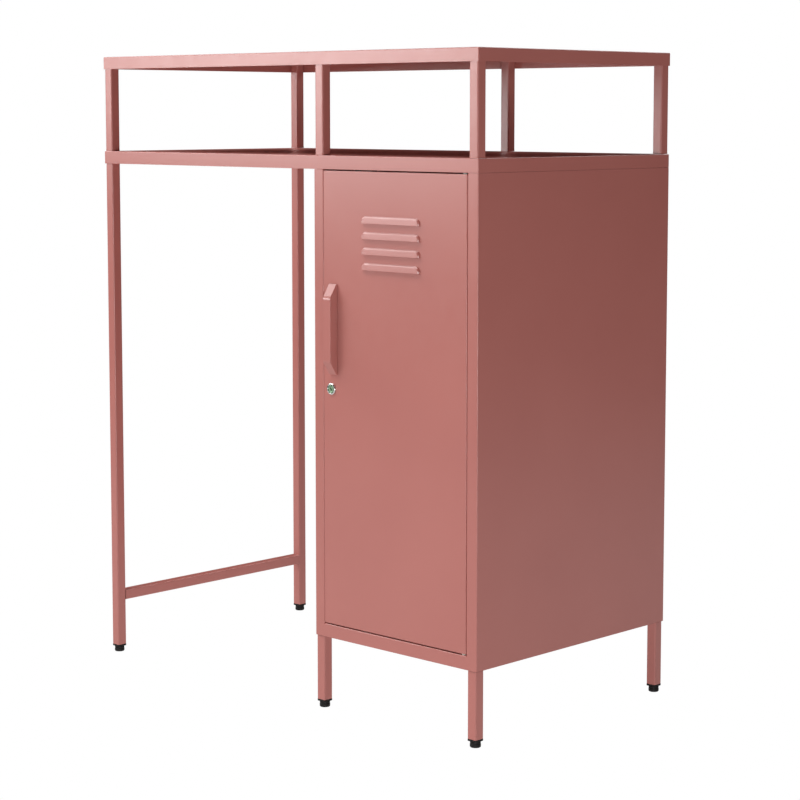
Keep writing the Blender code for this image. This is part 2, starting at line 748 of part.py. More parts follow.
def handle_screw_places():
    middle = HANDLE_LEFT + HANDLE_WIDTH / 2
    return [
        (middle, HANDLE_HIGH - HANDLE_SCREW_INSET), (middle, HANDLE_LOW + HANDLE_SCREW_INSET)]


def make_handle(door_axis):
    """Hollow pull with sloping ends, screwed on from inside the door.

    Its front and right walls are closed, and the fingers reach in from the left."""
    front = -HANDLE_REACH
    foot = -GAP
    high = HANDLE_HIGH
    low = HANDLE_LOW
    right = HANDLE_LEFT + HANDLE_WIDTH
    outline = [
        (foot, low), (front, low + HANDLE_RAMP), (front, high - HANDLE_RAMP), (foot, high)]
    handle = add_piece(
        "door_handle", outline_solid(outline, "X", HANDLE_LEFT, right), CORAL_PAINT, door_axis)
    round_edges(handle, HANDLE_EDGE)
    combine(handle, add_piece("handle_hollow", handle_hollow(foot, front)), "DIFFERENCE")
    holes = hole_cutter(
        "handle_thread_holes", handle_screw_places(), HANDLE_SCREW_RADIUS + GAP,
        foot - HANDLE_SCREW_DEEP - GAP, foot + CUT_PAST, "Y")
    combine(handle, holes, "DIFFERENCE")
    seat = SHEET + GAP
    length = seat - foot + HANDLE_SCREW_DEEP
    head = HANDLE_SCREW_HEAD_RADIUS
    dome = HANDLE_SCREW_DOME
    profile = [
        (0.0, length), (HANDLE_SCREW_RADIUS - HANDLE_SCREW_TIP, length),
        (HANDLE_SCREW_RADIUS, length - HANDLE_SCREW_TIP), (HANDLE_SCREW_RADIUS, 0.0),
        (head, 0.0), (head, dome / 2 - HANDLE_SCREW_HEAD), (head - dome, -HANDLE_SCREW_HEAD),
        (0.0, -HANDLE_SCREW_HEAD)]
    for label, (x, z) in zip(("upper", "lower"), handle_screw_places()):
        turned(
            "handle_screw_" + label, profile, (x, seat, z), ZINC, door_axis, faces_front=True)


def handle_hollow(foot, front):
    """The space behind the handle's front wall, open to the left and towards the door."""
    back = front + HANDLE_WALL
    throat = HANDLE_RAMP / HANDLE_REACH * (foot - back)
    near = HANDLE_LOW + 2 * HANDLE_SCREW_INSET
    far = HANDLE_HIGH - 2 * HANDLE_SCREW_INSET
    past = foot + CUT_PAST
    outline = [
        (past, near), (past, far), (foot, far), (back, far - throat), (back, near + throat),
        (foot, near)]
    return outline_solid(
        outline, "X", HANDLE_LEFT - CUT_PAST, HANDLE_LEFT + HANDLE_WIDTH - HANDLE_WALL)


# ---- Cam lock ----

BEZEL_RADIUS = 10.0 * MM
BEZEL_REACH = 2.4 * MM
BEZEL_EDGE = 1.2 * MM
BARREL_REAR = 17.6 * MM
PLUG_FACE_RADIUS = 6.8 * MM
PLUG_STEM_RADIUS = 4.6 * MM
PLUG_SEAT = 1.6 * MM
PLUG_EDGE = 0.5 * MM
KEYWAY_LENGTH = 8.0 * MM
KEYWAY_WIDTH = 1.4 * MM
CAM_THICKNESS = 2.0 * MM
CAM_LENGTH = 34.0 * MM
CAM_WIDTH = 14.0 * MM
CAM_STUB = 3.0 * MM
CAM_STEPS = 10
CAM_SCREW_RADIUS = 1.5 * MM
CAM_SCREW_REACH = 8.0 * MM
CAM_SCREW_HOLE = 6.0 * MM
CAM_SCREW_HEAD_RADIUS = 5.0 * MM
CAM_SCREW_HEAD = 2.4 * MM
CAM_SCREW_DOME = 1.0 * MM
NUT_ACROSS = 20.0 * MM
NUT_THICKNESS = 3.0 * MM


def make_lock(door_axis):
    place = (LOCK_X, 0.0, LOCK_Z)
    bore = PLUG_STEM_RADIUS + GAP
    mouth = PLUG_FACE_RADIUS + GAP
    barrel = [
        (mouth, BEZEL_REACH), (BEZEL_RADIUS - BEZEL_EDGE, BEZEL_REACH),
        (BEZEL_RADIUS, BEZEL_REACH - BEZEL_EDGE), (BEZEL_RADIUS, GAP), (BARREL_RADIUS, GAP),
        (BARREL_RADIUS, -BARREL_REAR), (bore, -BARREL_REAR), (bore, -PLUG_SEAT),
        (mouth, -PLUG_SEAT)]
    turned("lock_barrel", barrel, place, CHROME, door_axis, faces_front=True, closed=True)
    nut_shape = bmesh.new()
    bmesh.ops.create_cone(
        nut_shape, cap_ends=True, segments=6, radius1=NUT_ACROSS / math.sqrt(3),
        radius2=NUT_ACROSS / math.sqrt(3), depth=NUT_THICKNESS,
        matrix=Matrix.Translation((LOCK_X, SHEET + GAP + NUT_THICKNESS / 2, LOCK_Z))
        @ Matrix.Rotation(math.pi / 2, 4, "X"))
    nut = add_piece("lock_nut", nut_shape, ZINC, door_axis)
    nut_hole = hole_cutter(
        "lock_nut_hole", [(LOCK_X, LOCK_Z)], BARREL_RADIUS + GAP, 0.0,
        SHEET + GAP + NUT_THICKNESS + CUT_PAST, "Y")
    combine(nut, nut_hole, "DIFFERENCE")
    make_lock_core(door_axis)


def make_lock_core(door_axis):
    lock_axis = pivot_empty("lock_axis", (LOCK_X, 0.0, LOCK_Z), door_axis)
    place = (LOCK_X, 0.0, LOCK_Z)
    cam_front = BARREL_REAR + GAP
    cam_rear = cam_front + CAM_THICKNESS
    face = BEZEL_REACH - PLUG_EDGE
    bore = CAM_SCREW_RADIUS + GAP
    plug = turned(
        "lock_plug",
        [(0.0, face), (PLUG_FACE_RADIUS - PLUG_EDGE, face), (PLUG_FACE_RADIUS, face - PLUG_EDGE),
         (PLUG_FACE_RADIUS, GAP - PLUG_SEAT), (PLUG_STEM_RADIUS, GAP - PLUG_SEAT),
         (PLUG_STEM_RADIUS, GAP - cam_front), (CAM_STUB, GAP - cam_front),
         (CAM_STUB, GAP - cam_rear), (bore, GAP - cam_rear),
         (bore, CAM_SCREW_HOLE - BARREL_REAR), (0.0, CAM_SCREW_HOLE - BARREL_REAR)],
        place, LOCK_FACE, lock_axis, faces_front=True)
    keyway_shape = cube(
        (-KEYWAY_LENGTH / 2, -face - CUT_PAST, -KEYWAY_WIDTH / 2),
        (KEYWAY_LENGTH / 2, 0.0, KEYWAY_WIDTH / 2))
    bmesh.ops.transform(
        keyway_shape,
        matrix=Matrix.Translation(place) @ Matrix.Rotation(math.radians(45), 4, "Y"),
        verts=keyway_shape.verts)
    combine(plug, add_piece("keyway", keyway_shape), "DIFFERENCE")
    half = CAM_WIDTH / 2
    outline = [(LOCK_X - half, LOCK_Z - CAM_LENGTH), (LOCK_X + half, LOCK_Z - CAM_LENGTH)]
    outline += [
        (LOCK_X + half * math.cos(angle), LOCK_Z + half * math.sin(angle))
        for angle in (math.pi * i / CAM_STEPS for i in range(CAM_STEPS + 1))]
    cam = add_piece(
        "lock_cam", outline_solid(outline, "Y", cam_front, cam_rear), ZINC, lock_axis)
    cam_hole = hole_cutter(
        "lock_cam_hole", [(LOCK_X, LOCK_Z)], CAM_STUB + GAP, cam_front - CUT_PAST,
        cam_rear + CUT_PAST, "Y")
    combine(cam, cam_hole, "DIFFERENCE")
    head = CAM_SCREW_HEAD_RADIUS
    turned(
        "cam_screw",
        [(0.0, CAM_SCREW_REACH), (CAM_SCREW_RADIUS, CAM_SCREW_REACH), (CAM_SCREW_RADIUS, 0.0),
         (head, 0.0), (head, CAM_SCREW_DOME / 2 - CAM_SCREW_HEAD),
         (head - CAM_SCREW_DOME, -CAM_SCREW_HEAD), (0.0, -CAM_SCREW_HEAD)],
        (LOCK_X, cam_rear + GAP, LOCK_Z), ZINC, lock_axis, faces_front=True)


# ---- Assembly ----

make_rack()
make_legs()
make_locker_sides()
make_bottom_panel()
make_header_rail()
make_locker_inside()
DOOR_AXIS = pivot_empty("door_axis", (PIVOT.x, PIVOT.y, (DOOR_BOTTOM + DOOR_TOP) / 2))
make_hinge(DOOR_AXIS)
make_door(DOOR_AXIS)
make_handle(DOOR_AXIS)
make_lock(DOOR_AXIS)
bpy.context.view_layer.update()
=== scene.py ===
"""Looks of the locker cabinet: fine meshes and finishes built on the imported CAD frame.

Places come from the frame's nodes, in metres, in the row's frame: x to the right as seen from the
front, y to the back and z up.  Each piece stands for one CAD node and rides on that node's body;
only the pole strips of the magnetic catch are added to what the CAD has.
"""

import json
import math

import bmesh
import bpy
from mathutils import Matrix, Vector

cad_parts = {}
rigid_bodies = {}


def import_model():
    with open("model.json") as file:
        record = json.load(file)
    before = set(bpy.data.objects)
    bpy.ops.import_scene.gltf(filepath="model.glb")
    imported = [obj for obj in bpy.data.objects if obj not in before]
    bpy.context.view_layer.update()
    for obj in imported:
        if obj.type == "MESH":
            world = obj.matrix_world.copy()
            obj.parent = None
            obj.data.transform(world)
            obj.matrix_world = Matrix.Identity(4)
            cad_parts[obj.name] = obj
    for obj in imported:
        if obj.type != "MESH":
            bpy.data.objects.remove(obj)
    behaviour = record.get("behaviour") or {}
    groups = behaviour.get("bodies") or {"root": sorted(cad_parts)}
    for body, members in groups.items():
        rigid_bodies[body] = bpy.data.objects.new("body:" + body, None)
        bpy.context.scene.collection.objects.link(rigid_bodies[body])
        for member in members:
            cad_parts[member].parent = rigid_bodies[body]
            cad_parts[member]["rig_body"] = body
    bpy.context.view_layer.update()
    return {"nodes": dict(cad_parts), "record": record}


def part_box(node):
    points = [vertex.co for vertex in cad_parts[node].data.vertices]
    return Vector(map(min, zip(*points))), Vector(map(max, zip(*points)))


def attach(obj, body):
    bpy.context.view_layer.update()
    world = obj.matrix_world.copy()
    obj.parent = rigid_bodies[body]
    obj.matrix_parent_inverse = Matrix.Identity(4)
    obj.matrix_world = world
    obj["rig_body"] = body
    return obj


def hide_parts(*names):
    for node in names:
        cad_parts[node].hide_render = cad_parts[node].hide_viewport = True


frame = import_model()

MM = 0.001
SHEET = 1.0 * MM
GAP = 0.3 * MM
FOLD_RADIUS = 1.5 * MM
FOLD_STEPS = 5
TUBE_CORNER = 2.4 * MM
CUT_EDGE = 0.2 * MM
ROUND_STEPS = 48
SHARP_ANGLE = 40.0
COLUMNS = ("front_left", "front_middle", "front_right", "rear_left", "rear_middle", "rear_right")


# ---- Finishes ----

# Nearly all values of a noise lie between these two.
NOISE_LOW = 0.3
NOISE_HIGH = 0.7


def new_look(name, roughness, metallic=0.0):
    """A node material; returns it with its node tree and its Principled shader."""
    look = bpy.data.materials.new(name)
    look.use_nodes = True
    tree = look.node_tree
    shader = tree.nodes["Principled BSDF"]
    shader.inputs["Roughness"].default_value = roughness
    shader.inputs["Metallic"].default_value = metallic
    return look, tree, shader


def object_place(tree, stretch=(1.0, 1.0, 1.0)):
    """The surface's own place in metres, which can be stretched for brushed or drawn marks."""
    source = tree.nodes.new("ShaderNodeTexCoord")
    scaling = tree.nodes.new("ShaderNodeMapping")
    scaling.inputs["Scale"].default_value = stretch
    tree.links.new(source.outputs["Object"], scaling.inputs["Vector"])
    return scaling.outputs["Vector"]


def noise(tree, place, scale, detail=2.0):
    """Noise of about scale features in a metre."""
    texture = tree.nodes.new("ShaderNodeTexNoise")
    texture.inputs["Scale"].default_value = scale
    texture.inputs["Detail"].default_value = detail
    tree.links.new(place, texture.inputs["Vector"])
    return texture.outputs["Fac"]


def spread(tree, value, low, high):
    """A noise's usual range, taken to low and high."""
    node = tree.nodes.new("ShaderNodeMapRange")
    for label, number in (
            ("From Min", NOISE_LOW), ("From Max", NOISE_HIGH), ("To Min", low), ("To Max", high)):
        node.inputs[label].default_value = number
    tree.links.new(value, node.inputs["Value"])
    return node.outputs["Result"]


def tones(tree, value, colours, socket):
    """Colours at equal steps over a noise's usual range, sent to a colour socket."""
    ramp = tree.nodes.new("ShaderNodeValToRGB")
    stops = ramp.color_ramp.elements
    while len(stops) < len(colours):
        stops.new(0.5)
    for i, colour in enumerate(colours):
        stops[i].position = NOISE_LOW + (NOISE_HIGH - NOISE_LOW) * i / (len(colours) - 1)
        stops[i].color = (*colour, 1.0)
    tree.links.new(value, ramp.inputs["Fac"])
    tree.links.new(ramp.outputs["Color"], socket)


def relief(tree, shader, heights):
    """Bumps laid over each other; each is a height, a distance in metres and a strength."""
    normal = None
    for height, distance, strength in heights:
        bump = tree.nodes.new("ShaderNodeBump")
        bump.inputs["Distance"].default_value = distance
        bump.inputs["Strength"].default_value = strength
        tree.links.new(height, bump.inputs["Height"])
        if normal:
            tree.links.new(normal, bump.inputs["Normal"])
        normal = bump.outputs["Normal"]
    tree.links.new(normal, shader.inputs["Normal"])


def powder_coat():
    """Satin coral powder coat: faint clouding, orange peel and fine grit."""
    look, tree, shader = new_look("coral_powder_coat", 0.31)
    place = object_place(tree)
    clouds = noise(tree, place, 5.0, detail=3.0)
    tones(
        tree, clouds, [(0.452, 0.148, 0.126), (0.462, 0.153, 0.130), (0.472, 0.158, 0.134)],
        shader.inputs["Base Color"])
    sheen = noise(tree, place, 60.0, detail=4.0)
    tree.links.new(spread(tree, sheen, 0.29, 0.33), shader.inputs["Roughness"])
    peel = noise(tree, place, 420.0, detail=2.0)
    grit = noise(tree, place, 2600.0, detail=2.0)
    relief(tree, shader, [(peel, 0.05 * MM, 0.30), (grit, 0.01 * MM, 0.25)])
    shader.inputs["IOR"].default_value = 1.6
    return look


def moulded_black():
    """Black plastic with a spark-eroded grain; its darker patches are a little shinier."""
    look, tree, shader = new_look("moulded_black_plastic", 0.55)
    shader.inputs["Specular IOR Level"].default_value = 0.3
    place = object_place(tree)
    clouds = noise(tree, place, 90.0, detail=3.0)
    tones(
        tree, clouds, [(0.0036, 0.0028, 0.0028), (0.0070, 0.0056, 0.0054)],
        shader.inputs["Base Color"])
    tree.links.new(spread(tree, clouds, 0.48, 0.64), shader.inputs["Roughness"])
    grain = noise(tree, place, 3200.0, detail=3.0)
    relief(tree, shader, [(grain, 0.03 * MM, 0.35)])
    return look


def bright_zinc():
    """Bright zinc plate: bluish and straw clouds, with drawn marks along the piece."""
    look, tree, shader = new_look("bright_zinc_plate", 0.34, metallic=1.0)
    place = object_place(tree)
    clouds = noise(tree, place, 130.0, detail=4.0)
    tones(
        tree, clouds, [(0.40, 0.42, 0.44), (0.50, 0.50, 0.49), (0.53, 0.50, 0.42)],
        shader.inputs["Base Color"])
    marks = noise(tree, object_place(tree, (1.0, 1.0, 0.1)), 2400.0, detail=3.0)
    tree.links.new(spread(tree, marks, 0.28, 0.42), shader.inputs["Roughness"])
    relief(tree, shader, [(marks, 0.01 * MM, 0.25)])
    return look


def polished_chrome():
    """Chrome plate over a die casting, with faint buffing marks."""
    look, tree, shader = new_look("polished_chrome_plate", 0.26, metallic=1.0)
    place = object_place(tree)
    clouds = noise(tree, place, 220.0, detail=4.0)
    tones(
        tree, clouds, [(0.74, 0.73, 0.70), (0.82, 0.81, 0.78)], shader.inputs["Base Color"])
    tree.links.new(spread(tree, clouds, 0.20, 0.32), shader.inputs["Roughness"])
    buffing = noise(tree, place, 1800.0, detail=2.0)
    relief(tree, shader, [(buffing, 0.004 * MM, 0.30)])
    return look


def green_plated_face():
    """Pale grey-green plated casting of the key plug, worn brighter in small patches."""
    look, tree, shader = new_look("grey_green_plated_casting", 0.36, metallic=0.55)
    place = object_place(tree)
    clouds = noise(tree, place, 480.0, detail=4.0)
    tones(
        tree, clouds, [(0.15, 0.27, 0.15), (0.21, 0.33, 0.20), (0.31, 0.42, 0.29)],
        shader.inputs["Base Color"])
    tree.links.new(spread(tree, clouds, 0.30, 0.46), shader.inputs["Roughness"])
    casting = noise(tree, place, 2200.0, detail=3.0)
    relief(tree, shader, [(casting, 0.02 * MM, 0.30)])
    return look


def natural_nylon():
    """Off-white nylon with a little light passing below its surface."""
    look, tree, shader = new_look("natural_nylon", 0.42)
    place = object_place(tree)
    clouds = noise(tree, place, 150.0, detail=2.0)
    tones(
        tree, clouds, [(0.68, 0.66, 0.59), (0.76, 0.75, 0.69)], shader.inputs["Base Color"])
    tree.links.new(spread(tree, clouds, 0.38, 0.48), shader.inputs["Roughness"])
    shader.inputs["Subsurface Weight"].default_value = 0.15
    shader.inputs["Subsurface Scale"].default_value = 1.0 * MM
    grain = noise(tree, place, 2600.0, detail=2.0)
    relief(tree, shader, [(grain, 0.01 * MM, 0.25)])
    return look


LOOKS = {
    "coral_paint": powder_coat(),
    "black_plastic": moulded_black(),
    "zinc_plate": bright_zinc(),
    "chrome_plate": polished_chrome(),
    "lock_face": green_plated_face(),
    "white_nylon": natural_nylon(),
}
SLOT_OF = {part["node"]: part["material_slot"] for part in frame["record"]["subparts"]}


# ---- Flat paths ----

def cross(first, second):
    return first.x * second.y - first.y * second.x


def corner_arc(before, corner, after, radius, steps):
    """Points of the arc that rounds one corner of a flat path."""
    back = (before - corner).normalized()
    ahead = (after - corner).normalized()
    half = back.angle(ahead) / 2
    centre = corner + (back + ahead).normalized() * radius / math.sin(half)
    spoke = corner + back * radius / math.tan(half) - centre
    turn = (math.pi - 2 * half) * (1 if cross(back, ahead) < 0 else -1)
    return [centre + Matrix.Rotation(turn * i / steps, 2) @ spoke for i in range(steps + 1)]


def rounded(points, radius, steps=FOLD_STEPS, closed=False):
    """A flat path with arcs for corners; radius is one number, or one for each point."""
    points = [Vector(point) for point in points]
    radii = radius if isinstance(radius, list) else [radius] * len(points)
    path = []
    for i, corner in enumerate(points):
        is_end = not closed and i in (0, len(points) - 1)
        if is_end or radii[i] == 0.0:
            path.append(corner)
        else:
            after = points[(i + 1) % len(points)]
            path.extend(corner_arc(points[i - 1], corner, after, radii[i], steps))
    return path


def beside(path, distance, closed=False):
    """The path moved to its left by distance, each stretch kept parallel."""
    moved = []
    count = len(path)
    for i, point in enumerate(path):
        is_first = i == 0 and not closed
        is_last = i == count - 1 and not closed
        ahead = point - path[i - 1] if is_last else path[(i + 1) % count] - point
        back = ahead if is_first else point - path[i - 1]
        left = Vector((-ahead.y, ahead.x)).normalized()
        mitre = (left + Vector((-back.y, back.x)).normalized()).normalized()
        moved.append(point + mitre * distance / mitre.dot(left))
    return moved


def rectangle(low, high):
    return [(low[0], low[1]), (high[0], low[1]), (high[0], high[1]), (low[0], high[1])]


def circle(centre, radius, steps=ROUND_STEPS):
    angles = [math.tau * i / steps for i in range(steps)]
    return [
        Vector((centre[0] + radius * math.cos(a), centre[1] + radius * math.sin(a))) for a in angles]


def lift(axis, pair, along):
    """A flat point and a place along one axis, as a point in space."""
    place = list(pair)
    place.insert("XYZ".index(axis), along)
    return Vector(place)


# ---- Shapes ----

def skin(shape, rows, closed=True):
    """Quads between rows of the same number of vertices."""
    for first, second in zip(rows, rows[1:]):
        count = len(first)
        for i in range(count if closed else count - 1):
            j = (i + 1) % count
            shape.faces.new((first[i], first[j], second[j], second[i]))


def stack(outlines, axis, places, capped=True):
    """Closed outlines of the same number of points, skinned over at places along an axis."""
    shape = bmesh.new()
    rows = [
        [shape.verts.new(lift(axis, point, along)) for point in outline]
        for outline, along in zip(outlines, places)]
    skin(shape, rows)
    if capped:
        shape.faces.new(rows[0])
        shape.faces.new(rows[-1])
    else:
        skin(shape, [rows[-1], rows[0]])
    bmesh.ops.recalc_face_normals(shape, faces=shape.faces)
    return shape


def prism(outline, axis, start, end):
    return stack([outline, outline], axis, [start, end])


def stepped(outline, axis, rows):
    """A closed outline drawn in by each row's inset at that row's place along the axis."""
    outlines = [beside(outline, inset, closed=True) if inset else outline for inset, _ in rows]
    return stack(outlines, axis, [along for _, along in rows])


def folded_strip(path, side, axis, start, end):
    """Sheet folded along a flat path and drawn out along an axis; side 1 thickens to its left."""
    return prism(path + beside(path, side * SHEET)[::-1], axis, start, end)


def square_tube(low, high, axis, radius=TUBE_CORNER):
    """Thin-walled square tube with rounded corners, open at both ends."""
    along = "XYZ".index(axis)
    others = [i for i in range(3) if i != along]
    square = rectangle([low[i] for i in others], [high[i] for i in others])
    outer = rounded(square, radius, closed=True)
    inner = beside(outer, SHEET, closed=True)
    return stack(
        [outer, outer, inner, inner], axis, [low[along], high[along], high[along], low[along]],
        capped=False)


def turned(profile, foot, faces_front=False, closed=False):
    """Profile of (radius, height) points turned about an upright or front-facing axis."""
    shape = bmesh.new()
    rows = []
    for radius, height in profile:
        if radius < 1e-6:
            rows.append([shape.verts.new((0.0, 0.0, height))])
        else:
            rows.append([
                shape.verts.new((point.x, point.y, height))
                for point in circle((0.0, 0.0), radius)])
    if closed:
        rows.append(rows[0])
    for first, second in zip(rows, rows[1:]):
        for i in range(ROUND_STEPS):
            j = (i + 1) % ROUND_STEPS
            corners = [first[i % len(first)], first[j % len(first)],
                       second[j % len(second)], second[i % len(second)]]
            if len(first) == 1:
                corners.pop(1)
            if len(second) == 1:
                corners.pop()
            shape.faces.new(corners)
    turn = Matrix.Rotation(math.pi / 2, 4, "X") if faces_front else Matrix.Identity(4)
    bmesh.ops.transform(shape, matrix=Matrix.Translation(foot) @ turn, verts=shape.verts)
    bmesh.ops.recalc_face_normals(shape, faces=shape.faces)
    return shape


def merged(shapes):
    """Several shapes as one."""
    whole = bmesh.new()
    for shape in shapes:
        mesh = bpy.data.meshes.new("merged")
        shape.to_mesh(mesh)
        shape.free()
        whole.from_mesh(mesh)
        bpy.data.meshes.remove(mesh)
    return whole


def tray_skin(low, high, open_towards, lip=0.0):
    """The outer skin of a folded tray: round folds, one side open, with an optional lip there."""
    shape = bmesh.new()
    bmesh.ops.create_cube(shape, size=1.0)
    bmesh.ops.scale(shape, verts=shape.verts, vec=high - low)
    bmesh.ops.translate(shape, verts=shape.verts, vec=(low + high) / 2)
    shape.normal_update()
    lid = [face for face in shape.faces if face.normal.dot(Vector(open_towards)) > 0.9]
    if lip:
        bmesh.ops.inset_region(shape, faces=lid, thickness=lip)
    bmesh.ops.delete(shape, geom=lid, context="FACES")
    folds = [
        edge for edge in shape.edges
        if len(edge.link_faces) == 2 and edge.calc_face_angle() > math.radians(SHARP_ANGLE)]
    bmesh.ops.bevel(
        shape, geom=folds, offset=FOLD_RADIUS, segments=FOLD_STEPS, profile=0.5, affect="EDGES")
    return shape


# ---- Objects ----

def new_item(name, shape):
    mesh = bpy.data.meshes.new(name)
    shape.to_mesh(mesh)
    shape.free()
    item = bpy.data.objects.new(name, mesh)
    bpy.context.scene.collection.objects.link(item)
    return item


def bake(item):
    """Put the result of the modifiers into the mesh."""
    graph = bpy.context.evaluated_depsgraph_get()
    mesh = bpy.data.meshes.new_from_object(item.evaluated_get(graph))
    item.modifiers.clear()
    item.data = mesh


def thicken(item):
    """Give a skin the sheet's thickness, on its inner side."""
    sheet = item.modifiers.new("sheet", "SOLIDIFY")
    sheet.thickness = SHEET
    sheet.offset = -1.0
    sheet.use_even_offset = True
    bake(item)


def combine(item, shape, operation="DIFFERENCE"):
    """Cut a shape out of the item, or join it on."""
    other = new_item("operand", shape)
    boolean = item.modifiers.new("boolean", "BOOLEAN")
    boolean.operation = operation
    boolean.solver = "EXACT"
    boolean.object = other
    bake(item)
    bpy.data.objects.remove(other, do_unlink=True)


def soften(item, width=CUT_EDGE, steps=2, angle=50.0):
    """Take the sharpness off the edges that turn by more than an angle in degrees."""
    bevel = item.modifiers.new("softened_edges", "BEVEL")
    bevel.width = width
    bevel.segments = steps
    bevel.limit_method = "ANGLE"
    bevel.angle_limit = math.radians(angle)
    bevel.use_clamp_overlap = False
    bake(item)


def finish_surface(item, look):
    """Shade flats flat and folds round, and give the finish."""
    mesh = item.data
    mesh.shade_smooth()
    mesh.set_sharp_from_angle(angle=math.radians(SHARP_ANGLE))
    weighting = item.modifiers.new("even_flats", "WEIGHTED_NORMAL")
    weighting.keep_sharp = True
    mesh.materials.clear()
    mesh.materials.append(look)


def show(item, node):
    """The item stands for a CAD node: it takes that node's finish and rides on its body."""
    slot = SLOT_OF[node]
    finish_surface(item, LOOKS[slot])
    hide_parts(node)
    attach(item, frame["nodes"][node]["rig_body"])


def middle_of(node):
    low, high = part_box(node)
    return (low + high) / 2


# ---- Trays ----

STIFFENER_CROWN = 44.0 * MM
STIFFENER_FLANGE = 12.0 * MM
BOLT_RADIUS = 3.0 * MM


def make_tray(node, open_towards):
    low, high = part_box(node)
    item = new_item(node + "_sheet", tray_skin(low, high, open_towards))
    thicken(item)
    return item


def make_stiffener(node):
    """Hat-section rail under a tray's skin."""
    low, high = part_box(node)
    middle = (low.y + high.y) / 2
    near = middle - STIFFENER_CROWN / 2
    far = middle + STIFFENER_CROWN / 2
    crown = low.z + SHEET
    path = rounded(
        [(near - STIFFENER_FLANGE, high.z), (near, high.z), (near, crown),
         (far, crown), (far, high.z), (far + STIFFENER_FLANGE, high.z)],
        FOLD_RADIUS)
    item = new_item(node + "_rail", folded_strip(path, -1, "X", low.x, high.x))
    soften(item)
    show(item, node)


def make_trays():
    top = make_tray("top_tray", (0, 0, -1))
    soften(top)
    show(top, "top_tray")
    shelf = make_tray("mid_shelf", (0, 0, -1))
    top_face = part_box("mid_shelf")[1].z
    for column in COLUMNS:
        place = middle_of("post_bolt_" + column)
        hole = circle((place.x, place.y), BOLT_RADIUS + GAP)
        combine(shelf, prism(hole, "Z", top_face - 3 * SHEET, top_face + 3 * SHEET))
    soften(shelf)
    show(shelf, "mid_shelf")
    make_stiffener("top_tray_stiffener")
    make_stiffener("mid_shelf_stiffener")


# ---- Posts and their bolts ----

BASE_PLATE = 3.0 * MM
BOLT_HEAD = 3.6 * MM
HEX_KEY = 4.0 * MM
HEX_DEEP = 2.0 * MM


def make_post(column):
    """Square tube with a base plate, which its bolt screws into."""
    node = "post_" + column
    low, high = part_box(node)
    item = new_item(node + "_tube", square_tube(low, high, "Z"))
    inner = SHEET / 2
    plate = rectangle((low.x + inner, low.y + inner), (high.x - inner, high.y - inner))
    combine(item, prism(plate, "Z", low.z, low.z + BASE_PLATE), "UNION")
    middle = (low + high) / 2
    hole = circle((middle.x, middle.y), BOLT_RADIUS + GAP)
    combine(item, prism(hole, "Z", low.z - MM, low.z + BASE_PLATE + MM))
    soften(item)
    show(item, node)


def make_post_bolt(column):
    """Button-head bolt with a hexagon socket, screwed up through the shelf."""
    node = "post_bolt_" + column
    low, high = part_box(node)
    head_radius = (high.x - low.x) / 2
    crown_radius = head_radius - 2.6 * MM
    rim = 1.6 * MM
    length = high.z - low.z
    tip = 0.5 * MM
    profile = rounded(
        [(0.0, length), (BOLT_RADIUS - tip, length), (BOLT_RADIUS, length - tip),
         (BOLT_RADIUS, BOLT_HEAD), (head_radius, BOLT_HEAD), (head_radius, rim),
         (crown_radius, 0.0), (0.0, 0.0)],
        [0.0, 0.0, 0.0, 0.0, 0.3 * MM, 1.2 * MM, 0.8 * MM, 0.0], steps=4)
    middle = (low + high) / 2
    foot = Vector((middle.x, middle.y, low.z))
    item = new_item(node + "_turned", turned(profile, foot))
    socket = circle((middle.x, middle.y), HEX_KEY / math.sqrt(3), steps=6)
    combine(item, prism(socket, "Z", low.z - MM, low.z + HEX_DEEP))
    show(item, node)


# ---- Legs and feet ----

GROOVE_DEEP = 0.7 * MM
GROOVE_HEIGHT = 1.1 * MM
LOCKER_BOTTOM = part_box("bottom_panel")[0].z
PLUG_HEAD = 3.3 * MM
PLUG_CORNER = 1.8 * MM
PLUG_TAPER = 0.4 * MM
PLUG_TAPER_LENGTH = 2.0 * MM
STUD_RADIUS = 3.0 * MM
FOOT_BASE = 10.0 * MM
FOOT_WAIST_TOP = 7.2 * MM
FOOT_WAIST_BOTTOM = 6.0 * MM


def cut_groove(item, low, high):
    """Shallow groove round a locker leg, where it leaves the locker."""
    inset = Vector((GROOVE_DEEP, GROOVE_DEEP))
    margin = Vector((MM, MM))
    core = rounded(rectangle(low.xy + inset, high.xy - inset), TUBE_CORNER, closed=True)
    outside = rectangle(low.xy - margin, high.xy + margin)
    top = LOCKER_BOTTOM
    cutter = new_item("groove", prism(outside, "Z", top - GROOVE_HEIGHT, top + MM))
    combine(cutter, prism(core, "Z", top - 2 * MM, top + 2 * MM))
    ring = bmesh.new()
    ring.from_mesh(cutter.data)
    bpy.data.objects.remove(cutter, do_unlink=True)
    combine(item, ring)


def make_leg(node, axis="Z"):
    low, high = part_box(node)
    item = new_item(node + "_tube", square_tube(low, high, axis))
    if node.startswith("locker"):
        cut_groove(item, low, high)
    soften(item)
    show(item, node)


def make_leg_plug(column):
    """Square plug with a softened head, an insert that tapers at its top and a threaded bore."""
    node = "leg_plug_" + column
    low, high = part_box(node)
    wall = SHEET + GAP
    neck = low.z + PLUG_HEAD
    outline = rounded(rectangle(low.xy, high.xy), PLUG_CORNER, closed=True)
    edge = 0.5 * MM
    plug = stepped(outline, "Z", [
        (edge, low.z), (edge * 0.3, low.z + edge * 0.3), (0.0, low.z + edge), (0.0, neck),
        (wall, neck), (wall, high.z - PLUG_TAPER_LENGTH), (wall + PLUG_TAPER, high.z)])
    item = new_item(node + "_moulding", plug)
    middle = (low + high) / 2
    bore = circle((middle.x, middle.y), STUD_RADIUS + GAP)
    combine(item, prism(bore, "Z", low.z - MM, high.z + MM))
    show(item, node)


